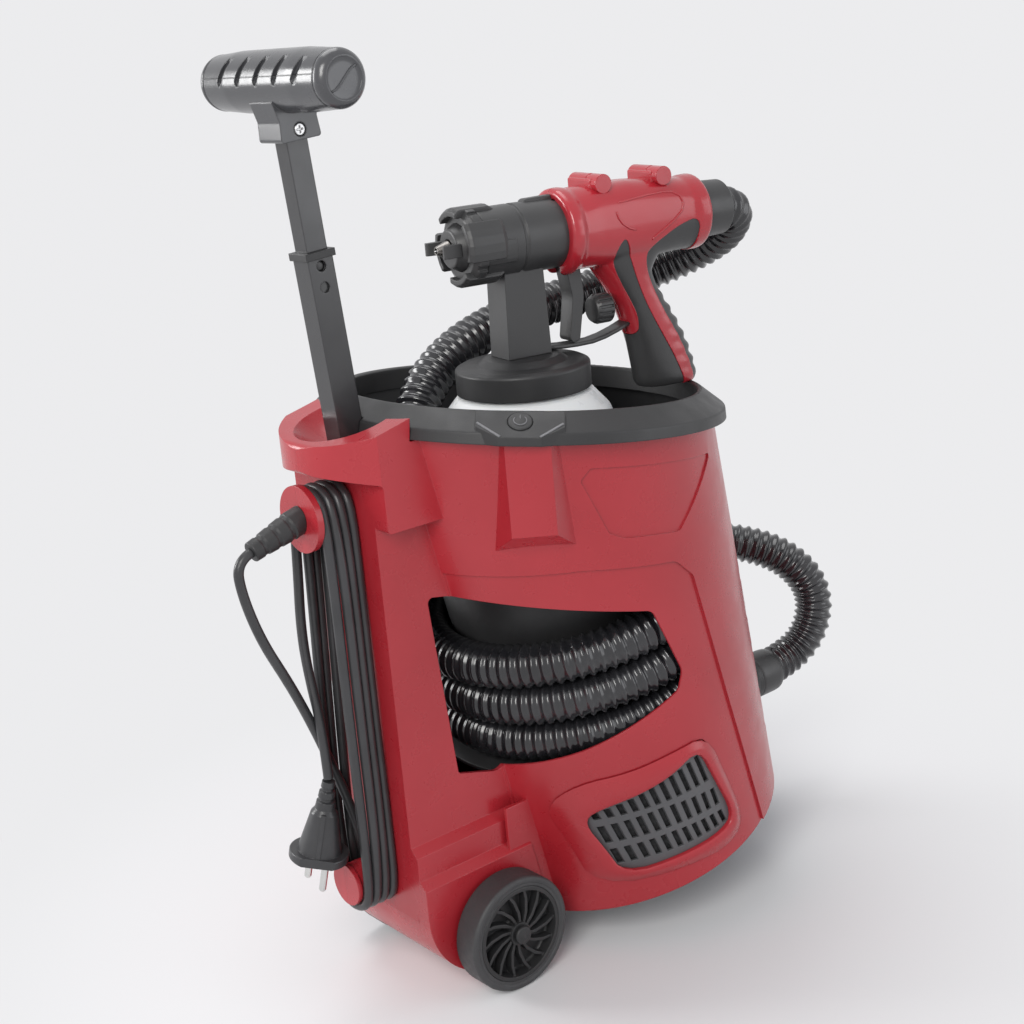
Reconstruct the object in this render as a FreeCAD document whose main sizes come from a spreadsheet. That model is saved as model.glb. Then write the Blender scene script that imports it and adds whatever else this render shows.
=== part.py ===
"""A trolley paint sprayer: an air turbine in a wheeled tub, with a spray gun stowed on top.

Millimetres, +Z up. The origin lies on the floor, under the middle of the tub. +X points to the
front of the tub, away from the wheels and the telescopic handle. The tub leans back a little, so
its base ring sits further forward than its rim, and both rings are tilted.
"""
import FreeCAD, Part
import math
import os
import Sketcher

Vector = FreeCAD.Vector
Rotation = FreeCAD.Rotation
doc = FreeCAD.newDocument("TrolleySprayer")
sheet = doc.addObject("Spreadsheet::Sheet", "Sizes")
pieces = []


class Measure:
    """A length or an angle: its number now, and the spreadsheet formula that gives it."""

    def __init__(self, number, formula):
        self.number = float(number)
        self.formula = formula

    def __float__(self):
        return self.number

    def __add__(self, other):
        return Measure(self.number + float(other), "(%s + %s)" % (self.formula, formula_of(other)))

    def __radd__(self, other):
        return Measure(float(other) + self.number, "(%s + %s)" % (formula_of(other), self.formula))

    def __sub__(self, other):
        return Measure(self.number - float(other), "(%s - %s)" % (self.formula, formula_of(other)))

    def __rsub__(self, other):
        return Measure(float(other) - self.number, "(%s - %s)" % (formula_of(other), self.formula))

    def __mul__(self, other):
        return Measure(self.number * float(other), "(%s * %s)" % (self.formula, formula_of(other)))

    def __rmul__(self, other):
        return Measure(float(other) * self.number, "(%s * %s)" % (formula_of(other), self.formula))

    def __truediv__(self, other):
        return Measure(self.number / float(other), "(%s / %s)" % (self.formula, formula_of(other)))

    def __neg__(self):
        return Measure(-self.number, "(0 - %s)" % self.formula)


def formula_of(thing):
    if isinstance(thing, Measure):
        return thing.formula
    return repr(float(thing))


def sine(angle):
    return Measure(math.sin(math.radians(float(angle))), "sin(%s * 1 deg)" % formula_of(angle))


def cosine(angle):
    return Measure(math.cos(math.radians(float(angle))), "cos(%s * 1 deg)" % formula_of(angle))


def size(alias, number):
    """Writes one driving dimension into the next row of the sheet and returns its measure."""
    size.rows += 1
    sheet.set("A%d" % size.rows, alias)
    sheet.set("B%d" % size.rows, str(number))
    sheet.setAlias("B%d" % size.rows, alias)
    return Measure(number, "Sizes." + alias)


size.rows = 0


# Helpers that make bound objects

def bind(thing, **rules):
    """Sets properties and ties each to its spreadsheet formula."""
    for name, rule in rules.items():
        setattr(thing, name, float(rule))
        if isinstance(rule, Measure):
            thing.setExpression(name, rule.formula)
    return thing


def place(thing, at=(0, 0, 0), axis=None, angle=0):
    """Puts an object at a point, turned about an axis, with the formulas bound."""
    spin = Rotation()
    if axis is not None:
        spin = Rotation(Vector(*axis), float(angle))
    thing.Placement = FreeCAD.Placement(Vector(*[float(value) for value in at]), spin)
    for letter, value in zip("xyz", at):
        if isinstance(value, Measure):
            thing.setExpression("Placement.Base." + letter, value.formula)
    if isinstance(angle, Measure):
        thing.setExpression("Placement.Rotation.Angle", angle.formula)
    return thing


def step_text(at, axis, angle):
    """One placement written as a spreadsheet formula."""
    spot = "; ".join(formula_of(value) for value in at)
    way = "; ".join(formula_of(value) for value in axis)
    return ("create(<<placement>>; create(<<vector>>; %s); create(<<rotation>>; "
            "create(<<vector>>; %s); %s * 1))" % (spot, way, formula_of(angle)))


def seat(thing, *steps):
    """Puts an object into frames that are nested one in the other, each (place, axis, angle)."""
    total = FreeCAD.Placement()
    for at, axis, angle in steps:
        spin = Rotation(Vector(*[float(value) for value in axis]), float(angle))
        total = total.multiply(FreeCAD.Placement(Vector(*[float(value) for value in at]), spin))
    thing.Placement = total
    thing.setExpression("Placement", " * ".join(step_text(*step) for step in steps))
    return thing


ALONG = {"x": ((0, 1, 0), 90), "y": ((1, 0, 0), -90), "z": (None, 0)}


def cylinder(name, radius, height, at=(0, 0, 0), along="z"):
    thing = doc.addObject("Part::Cylinder", name)
    bind(thing, Radius=radius, Height=height)
    axis, angle = ALONG[along]
    return place(thing, at, axis, angle)


def cone(name, low_radius, high_radius, height, at=(0, 0, 0), along="z"):
    thing = doc.addObject("Part::Cone", name)
    bind(thing, Radius1=low_radius, Radius2=high_radius, Height=height)
    axis, angle = ALONG[along]
    return place(thing, at, axis, angle)


def ball(name, radius, at):
    thing = doc.addObject("Part::Sphere", name)
    bind(thing, Radius=radius)
    return place(thing, at)


def box(name, length, width, height, at=(0, 0, 0)):
    """A box from its lowest corner."""
    thing = doc.addObject("Part::Box", name)
    bind(thing, Length=length, Width=width, Height=height)
    return place(thing, at)


def middle_box(name, length, width, height, at=(0, 0, 0)):
    """A box centred on at in x and y, standing on it in z."""
    x, y, z = at
    return box(name, length, width, height, (x - length / 2, y - width / 2, z))


def cut(name, base, *tools):
    tool = tools[0]
    if len(tools) > 1:
        tool = fuse(name + "Tools", *tools)
    thing = doc.addObject("Part::Cut", name)
    thing.Base = base
    thing.Tool = tool
    return thing


def fuse(name, *parts):
    thing = doc.addObject("Part::MultiFuse", name)
    thing.Shapes = list(parts)
    return thing


def meet(name, *parts):
    thing = doc.addObject("Part::MultiCommon", name)
    thing.Shapes = list(parts)
    return thing


def draw(sketch, points):
    """Draws a closed outline of (x, y) or (x, y, corner radius) points, all tied to the sheet."""
    corners = [Vector(float(point[0]), float(point[1]), 0) for point in points]
    radii = [point[2] if len(point) > 2 else None for point in points]
    count = len(points)
    arrive, leave, bows = [], [], []
    for i, corner in enumerate(corners):
        if radii[i] is None:
            arrive.append(corner)
            leave.append(corner)
            bows.append(None)
            continue
        back = (corners[i - 1] - corner).normalize()
        ahead = (corners[(i + 1) % count] - corner).normalize()
        half = back.getAngle(ahead) / 2
        radius = float(radii[i])
        reach = radius / math.tan(half)
        middle = corner + (back + ahead).normalize() * (radius / math.sin(half) - radius)
        arrive.append(corner + back * reach)
        leave.append(corner + ahead * reach)
        bows.append(middle)
    lines = []
    for i in range(count):
        side = Part.LineSegment(leave[i], arrive[(i + 1) % count])
        lines.append(sketch.addGeometry(side, False))
    for i in range(count):
        before, after = lines[i - 1], lines[i]
        if radii[i] is None:
            sketch.addConstraint(Sketcher.Constraint("Coincident", before, 2, after, 1))
            anchor = after
        else:
            arc = sketch.addGeometry(Part.Arc(arrive[i], bows[i], leave[i]), False)
            first = 1 if sketch.getPoint(arc, 1).distanceToPoint(arrive[i]) < 1e-6 else 2
            sketch.addConstraint(Sketcher.Constraint("Tangent", before, 2, arc, first))
            sketch.addConstraint(Sketcher.Constraint("Tangent", arc, 3 - first, after, 1))
            tie = sketch.addConstraint(Sketcher.Constraint("Radius", arc, float(radii[i])))
            if isinstance(radii[i], Measure):
                sketch.setExpression("Constraints[%d]" % tie, radii[i].formula)
            anchor = sketch.addGeometry(Part.Point(corners[i]), True)
            sketch.addConstraint(Sketcher.Constraint("PointOnObject", anchor, 1, before))
            sketch.addConstraint(Sketcher.Constraint("PointOnObject", anchor, 1, after))
        for kind, value in (("DistanceX", points[i][0]), ("DistanceY", points[i][1])):
            tie = sketch.addConstraint(Sketcher.Constraint(kind, -1, 1, anchor, 1, float(value)))
            if isinstance(value, Measure):
                sketch.setExpression("Constraints[%d]" % tie, value.formula)


PLANES = {
    "xy": (Rotation(), (0, 0, 1)),
    "xz": (Rotation(Vector(1, 0, 0), 90), (0, 1, 0)),
    "yz": (Rotation(Vector(1, 1, 1), 120), (1, 0, 0)),
}


def slab(name, points, plane, start, depth):
    """Extrudes an outline on a plane, from start along that plane's axis, by depth."""
    turn, axis = PLANES[plane]
    sketch = doc.addObject("Sketcher::SketchObject", name + "Outline")
    draw(sketch, points)
    sketch.Placement = FreeCAD.Placement(Vector(*axis) * float(start), turn)
    if isinstance(start, Measure):
        letter = "xyz"[axis.index(1)]
        sketch.setExpression("Placement.Base." + letter, start.formula)
    thing = doc.addObject("Part::Extrusion", name)
    thing.Base = sketch
    thing.DirMode = "Custom"
    thing.Dir = Vector(*axis)
    thing.Solid = True
    bind(thing, LengthFwd=depth)
    return thing


def origin_plane(body, role):
    for feature in body.Origin.OriginFeatures:
        if feature.Role == role:
            return feature
    raise ValueError(role)


def body_sketch(body, name, role, points):
    sketch = body.newObject("Sketcher::SketchObject", name)
    sketch.AttachmentSupport = (origin_plane(body, role), [""])
    sketch.MapMode = "FlatFace"
    draw(sketch, points)
    return sketch


def turned(name, points, at=(0, 0, 0), axis=None, angle=0):
    """A body turned about its own Z axis from an outline of (radius, height) points."""
    body = doc.addObject("PartDesign::Body", name)
    sketch = body_sketch(body, name + "Profile", "XZ_Plane", points)
    turn = body.newObject("PartDesign::Revolution", name + "Turn")
    turn.Profile = sketch
    turn.ReferenceAxis = (sketch, ["V_Axis"])
    turn.Angle = 360.0
    body.Tip = turn
    place(body, at, axis, angle)
    return body


def rounded(name, base, radius, wanted):
    """Rounds the edges of base that the test wanted(edge) picks."""
    doc.recompute()
    thing = doc.addObject("Part::Fillet", name)
    thing.Base = base
    chosen = []
    for number, edge in enumerate(base.Shape.Edges, 1):
        if wanted(edge):
            chosen.append((number, float(radius), float(radius)))
    thing.Edges = chosen
    return thing


def piece(label, thing):
    """Names a finished sub-part; the label is also its file name."""
    thing.Label = label
    pieces.append(thing)
    return thing


# Driving sizes

base_ring_radius = size("base_ring_radius", 117.0)
base_ring_x = size("base_ring_x", 50.0)
base_ring_z = size("base_ring_z", 52.0)
base_ring_tilt = size("base_ring_tilt", 15.0)
top_ring_radius = size("top_ring_radius", 126.0)
top_ring_x = size("top_ring_x", -13.0)
top_ring_z = size("top_ring_z", 372.0)
top_ring_drop = size("top_ring_drop", 7.0)
tub_wall = size("tub_wall", 3.0)
fit_gap = size("fit_gap", 0.3)
reach = size("reach", 200.0)
spine_rear = size("spine_rear", 164.0)
spine_half = size("spine_half", 36.0)
block_half = size("block_half", 50.0)
block_rear = size("block_rear", 192.0)
block_low = size("block_low", 330.0)
block_round = size("block_round", 60.0)
tail_half = size("tail_half", 48.0)
tail_floor = size("tail_floor", 9.0)
tail_round = size("tail_round", 56.0)
tail_step = size("tail_step", 86.0)
wheel_radius = size("wheel_radius", 40.0)
wheel_width = size("wheel_width", 21.0)
wheel_x = size("wheel_x", -107.0)
wheel_gap = size("wheel_gap", 2.0)
axle_radius = size("axle_radius", 4.0)
run_gap = size("run_gap", 0.1)
spool_z = size("spool_z", 339.0)
hook_z = size("hook_z", 87.0)
drum_radius = size("drum_radius", 12.6)
spool_radius = size("spool_radius", 21.5)
hook_lip_radius = size("hook_lip_radius", 14.5)
lip_thickness = size("lip_thickness", 4.5)
cord_diameter = size("cord_diameter", 6.5)
strand_count = size("strand_count", 4)
handle_x = size("handle_x", -153.5)
handle_z = size("handle_z", 375.0)
handle_lean = size("handle_lean", 4.5)

# Sizes: the tub's skin: a cone that leans back, trimmed by the tilted base plane and rim plane

tub_axis_angle = size("tub_axis_angle", 11.14)

# Sizes: the housing: tub, spine, handle block and tail in one moulding, later split into two halves

window_rear = size("window_rear", -131.0)
window_front = size("window_front", 8.0)
far_window_extra = size("far_window_extra", 54.0)
window_top = size("window_top", 268.0)
window_low = size("window_low", 137.0)
window_corner = size("window_corner", 9.0)
vent_rise = size("vent_rise", 81.0)
vent_corner = size("vent_corner", 8.0)
recess_depth = size("recess_depth", 1.6)
port_z = size("port_z", 107.0)
port_radius = size("port_radius", 17.0)
port_wall = size("port_wall", 3.5)
port_front = size("port_front", 176.0)
button_radius = size("button_radius", 7.5)
switch_radius = size("switch_radius", 5.0)
column_turn = size("column_turn", 140.0)
column_stand = size("column_stand", 11.0)
column_half = size("column_half", 30.0)
column_face = size("column_face", 14.0)
column_drop = size("column_drop", 73.0)
dent_top = size("dent_top", 238.0)
dent_pitch = size("dent_pitch", 29.5)
dent_radius = size("dent_radius", 9.0)
tube_deep = size("tube_deep", 18.0)
tube_wide = size("tube_wide", 16.0)
tube_wall = size("tube_wall", 1.5)
socket_wall = size("socket_wall", 1.6)
collar_lip = size("collar_lip", 138.0)
collar_inside = size("collar_inside", 135.2)
scoop_radius = size("scoop_radius", 42.0)
screw_x = size("screw_x", -179.0)
spine_screw_x = size("spine_screw_x", -151.0)
screw_boss = size("screw_boss", 5.5)
screw_radius = size("screw_radius", 2.0)
screw_head = size("screw_head", 4.0)

# Sizes: the rim collar, the power button and its switch

collar_rise = size("collar_rise", 15.5)
collar_hole = size("collar_hole", 118.0)
badge_half = size("badge_half", 27.0)

# Sizes: hose store: deck, core and the tray that carries the gun

deck_lift = size("deck_lift", 117.0)
deck_thickness = size("deck_thickness", 3.0)
hose_diameter = size("hose_diameter", 30.0)
coil_turns = size("coil_turns", 4)
tray_floor = size("tray_floor", 291.0)
tray_thickness = size("tray_thickness", 2.5)
tray_step = size("tray_step", 330.0)
step_x = size("step_x", 36.0)
hose_hole_x = size("hose_hole_x", -99.5)
hose_hole_y = size("hose_hole_y", 17.5)

# Sizes: air side: grille, filter, base plate, fan, motor and outlet

slot_width = size("slot_width", 4.2)
slot_height = size("slot_height", 17.0)
slot_lean = size("slot_lean", 23.0)
slot_pitch = size("slot_pitch", 8.2)
row_pitch = size("row_pitch", 20.5)
row_rise = size("row_rise", 16.0)
grille_thickness = size("grille_thickness", 2.2)
plate_thickness = size("plate_thickness", 4.0)
foot_x = size("foot_x", 111.0)
foot_depth = size("foot_depth", 33.0)
foot_width = size("foot_width", 72.0)
pad_thickness = size("pad_thickness", 4.0)
fan_x = size("fan_x", 45.0)
fan_radius = size("fan_radius", 48.0)
fan_low = size("fan_low", 90.0)
fan_height = size("fan_height", 34.0)
fan_wall = size("fan_wall", 2.5)
shaft_radius = size("shaft_radius", 3.0)
inlet_radius = size("inlet_radius", 20.0)
motor_radius = size("motor_radius", 34.0)
duct_bore = size("duct_bore", 14.5)

# Sizes: wheels on their axle

hub_radius = size("hub_radius", 33.2)
rim_thickness = size("rim_thickness", 3.0)
hub_boss = size("hub_boss", 8.0)
fin_count = size("fin_count", 14)

# Sizes: the telescopic handle

slide_fit = size("slide_fit", 0.2)
outer_low = size("outer_low", -45.0)
outer_high = size("outer_high", 122.0)
inner_low = size("inner_low", 45.0)
inner_high = size("inner_high", 200.0)
snap_height = size("snap_height", 116.4)
snap_step = size("snap_step", 13.0)
snap_radius = size("snap_radius", 3.2)
snap_sunk = size("snap_sunk", 2.8)
neck_low = size("neck_low", 191.6)
grip_height = size("grip_height", 225.5)
grip_half = size("grip_half", 63.0)
grip_radius = size("grip_radius", 19.0)

# Sizes: the spray gun with its cup, standing in the tray

gun_x = size("gun_x", -26.0)
gun_y = size("gun_y", -22.0)
gun_yaw = size("gun_yaw", -10.0)
barrel_z = size("barrel_z", 487.5)
barrel_front = size("barrel_front", 23.0)
barrel_back = size("barrel_back", 17.0)
gun_ring = size("gun_ring", 28.0)
stem_half = size("stem_half", 16.0)
needle_radius = size("needle_radius", 1.5)
trigger_width = size("trigger_width", 14.0)
pivot_x = size("pivot_x", 38.0)
pivot_z = size("pivot_z", 503.0)
knob_radius = size("knob_radius", 10.0)
knob_x = size("knob_x", 55.5)
knob_z = size("knob_z", 433.0)
cup_radius = size("cup_radius", 57.0)
cup_height = size("cup_height", 112.0)
cup_wall = size("cup_wall", 2.2)
cup_neck = size("cup_neck", 41.0)
lid_radius = size("lid_radius", 44.5)
pickup_radius = size("pickup_radius", 4.0)
grip_low = size("grip_low", 374.4)
grip_edge = size("grip_edge", 6.0)
connector_radius = size("connector_radius", 19.5)

# Sizes: hoses and cords: straight runs joined by arcs that touch both runs

boot_length = size("boot_length", 38.0)
boot_drop = size("boot_drop", 17.6)
plug_x = size("plug_x", -199.0)
plug_y = size("plug_y", -3.0)
plug_z = size("plug_z", 165.0)
plug_spin = size("plug_spin", -38.4)
plug_lean = size("plug_lean", 13.5)
pin_spin = size("pin_spin", 55.0)


# The tub's skin: a cone that leans back, trimmed by the tilted base plane and rim plane

tub_axis_length = (top_ring_z - base_ring_z) / cosine(tub_axis_angle)


def skin(name, inset, low_share=0.0, high_share=1.0):
    """The leaning cone inside the tub's skin, moved in by inset, between two shares of its length."""
    low = base_ring_radius + (top_ring_radius - base_ring_radius) * low_share - inset
    high = base_ring_radius + (top_ring_radius - base_ring_radius) * high_share - inset
    thing = doc.addObject("Part::Cone", name)
    bind(thing, Radius1=low, Radius2=high, Height=tub_axis_length * (high_share - low_share))
    lean = sine(tub_axis_angle) / cosine(tub_axis_angle)
    x = base_ring_x - (top_ring_z - base_ring_z) * lean * low_share
    z = base_ring_z + (top_ring_z - base_ring_z) * low_share
    return place(thing, (x, 0, z), (0, 1, 0), -tub_axis_angle)


def plane_height(x, ring_x, ring_z, tilt):
    """The height at x of a plane through a ring's middle, rising to the front by tilt."""
    return ring_z + (x - ring_x) * sine(tilt) / cosine(tilt)


def band(name, low_lift=0.0, high_lift=0.0):
    """All that lies between the base plane and the rim plane, each moved up by its lift."""
    return slab(name, [
        (-reach, plane_height(-reach, base_ring_x, base_ring_z, base_ring_tilt) + low_lift),
        (reach, plane_height(reach, base_ring_x, base_ring_z, base_ring_tilt) + low_lift),
        (reach, plane_height(reach, top_ring_x, top_ring_z, -top_ring_drop) + high_lift),
        (-reach, plane_height(-reach, top_ring_x, top_ring_z, -top_ring_drop) + high_lift),
    ], "xz", -reach, reach * 2)


def skin_layer(name, outer_inset, inner_inset, area):
    """The part of the wall between two insets that lies inside an area solid."""
    outside = skin(name + "Out", outer_inset, -0.1, 1.1)
    inside = skin(name + "In", inner_inset, -0.15, 1.15)
    return meet(name, cut(name + "Layer", outside, inside), area)


near_start = -reach
side_depth = reach - spine_half - 1.0


def side_slab(name, points, near=True, start_share=1.0):
    """An outline seen from the side, pushed through the near or the far wall of the tub."""
    if near:
        return slab(name, points, "xz", near_start, side_depth * start_share)
    return slab(name, points, "xz", spine_half + 1.0, side_depth)


# The housing: tub, spine, handle block and tail in one moulding, later split into two halves


def window_outline(front):
    """The opening of the hose store: level above, rising to the front below."""
    return [
        (window_rear + 11.0, window_low + 14.0, window_corner * 0.4),
        (window_rear, window_top + 9.0, window_corner * 0.4),
        (front - 70.0, window_top - 5.5, window_corner * 4),
        (front - 22.5, window_top - 15.5, window_corner),
        (front + 0.5, window_low + 67.0, window_corner),
        (front - 3.0, window_low + 54.0, window_corner * 0.7),
        (front - 62.0, window_low + 21.5, window_corner * 4),
        (window_rear + 43.0, window_low + 4.5, window_corner),
    ]


def vent_outline(grow):
    """The air inlet low on the near side, a slanted four-sided shape."""
    return [
        (-52.0 - grow, vent_rise + 22.0, vent_corner),
        (-30.0 - grow * 0.4, vent_rise - 20.0 - grow, vent_corner),
        (40.0 + grow, vent_rise - 7.0 - grow, vent_corner),
        (49.0 + grow, vent_rise + 2.0, vent_corner * 0.8),
        (18.0 + grow, vent_rise + 65.0 + grow, vent_corner * 0.8),
        (-16.0, vent_rise + 45.0 + grow, vent_corner * 3),
        (-48.0 - grow * 0.5, vent_rise + 31.0 + grow, vent_corner * 0.5),
    ]


def rear_part():
    spine = box("SpineForm", spine_rear - 60.0, spine_half * 2, block_low - 50.0,
                (-spine_rear, -spine_half, 60.0))
    block_side = slab("BlockSide", [
        (-60.0, block_low),
        (-60.0, 404.0),
        (-118.0, 403.0),
        (-152.0, 395.0, 25.0),
        (-block_rear, 386.0, 4.0),
        (-block_rear, 368.0, 3.0),
        (-spine_rear, 361.0, 4.0),
        (-spine_rear, block_low, 3.0),
    ], "xz", -block_half, block_half * 2)
    block_plan = fuse("BlockPlan",
                      cylinder("BlockRound", block_round, 120.0,
                               (block_round - block_rear, 0, 310.0)),
                      box("BlockFront", 100.0, block_half * 2 + 2.0, 120.0,
                          (block_round * 1.05 - block_rear, -block_half - 1.0, 310.0)))
    block_form = meet("BlockForm", block_side, block_plan)
    tail_side = slab("TailSide", [
        (-spine_rear, tail_floor, tail_round),
        (-92.0, tail_floor, 30.0),
        (-45.0, plane_height(-45.0, base_ring_x, base_ring_z, base_ring_tilt)),
        (-45.0, 116.0),
        (-spine_rear, 116.0),
    ], "xz", -tail_half, tail_half * 2)
    tail_rear = slab("TailRear", [
        (-tail_half, 0.0),
        (tail_half, 0.0),
        (tail_half, tail_step),
        (tail_half - 6.0, tail_step + 5.5),
        (tail_half - 6.0, tail_step + 22.0),
        (spine_half, tail_step + 27.5),
        (spine_half, 119.0),
        (-spine_half, 119.0),
        (-spine_half, tail_step + 27.5),
        (6.0 - tail_half, tail_step + 22.0),
        (6.0 - tail_half, tail_step + 5.5),
        (-tail_half, tail_step),
    ], "yz", -spine_rear - 5.0, 150.0)
    tail = meet("TailForm", tail_side, tail_rear)
    extras = fuse("RearForm", spine, block_form, tail)
    return cut("RearPart", extras, skin("RearTrim", tub_wall / 2, -0.25, 1.25))


def rear_hollow():
    spine = box("SpineHollow", spine_rear - 60.0 - tub_wall, (spine_half - tub_wall) * 2,
                block_low - 78.0, (-spine_rear + tub_wall, -spine_half + tub_wall, 60.0))
    tail_side = slab("TailHollowSide", [
        (-spine_rear + tub_wall, tail_floor + tub_wall, tail_round - tub_wall),
        (-93.0, tail_floor + tub_wall, 27.0),
        (-44.0, plane_height(-44.0, base_ring_x, base_ring_z, base_ring_tilt) + tub_wall),
        (-44.0, 95.0),
        (-spine_rear + tub_wall, 95.0),
    ], "xz", -tail_half + tub_wall, (tail_half - tub_wall) * 2)
    tail_rear = slab("TailHollowRear", [
        (-tail_half + tub_wall, 0.0),
        (tail_half - tub_wall, 0.0),
        (tail_half - tub_wall, tail_step - 6.0),
        (spine_half - tub_wall, 105.0),
        (-spine_half + tub_wall, 105.0),
        (-tail_half + tub_wall, tail_step - 6.0),
    ], "yz", -spine_rear - 5.0, 150.0)
    tail = meet("TailHollow", tail_side, tail_rear)
    return fuse("RearHollow", spine, tail)


RIM = ((top_ring_x, 0, top_ring_z), (0, 1, 0), top_ring_drop)
HANDLE = ((handle_x, 0, handle_z), (0, 1, 0), -handle_lean)


def socket_box(name, grow, low, high):
    """A box round the handle tube, in the handle's own frame."""
    deep = tube_deep + grow * 2
    wide = tube_wide + grow * 2
    return seat(box(name, deep, wide, high - low), HANDLE, ((-deep / 2, -wide / 2, low), (0, 0, 1), 0))


drum_reach = strand_count * cord_diameter + fit_gap * 2


def screw(name, length, head_depth, *steps):
    """A cross-head screw whose head is at its origin and whose shank runs down its own -Z."""
    shank = cylinder(name + "Shank", screw_radius, length, (0, 0, -length))
    head = cone(name + "Head", screw_head, screw_head * 0.8, head_depth)
    slot_a = middle_box(name + "SlotA", screw_head * 1.1, 0.9, 1.2, (0, 0, head_depth - 1.0))
    slot_b = middle_box(name + "SlotB", 0.9, screw_head * 1.1, 1.2, (0, 0, head_depth - 1.0))
    return seat(cut(name, fuse(name + "Solid", shank, head), slot_a, slot_b), *steps)


def screw_room(name, length, head_depth, room, *steps):
    """The hole for a screw with its head sunk below the surface."""
    shank = cylinder(name + "Shank", screw_radius + fit_gap * 0.2, length, (0, 0, -length))
    head = cylinder(name + "Head", screw_head + fit_gap, head_depth + room)
    return seat(fuse(name, shank, head), *steps)


SCREWS = [
    ("Block", (screw_x, 22.0, 377.0), 46.0),
    ("Spine", (spine_screw_x, spine_half - 3.0, 205.0), 50.0),
    ("Tail", (spine_screw_x, tail_half - 3.0, 62.0), 62.0),
]


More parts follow.
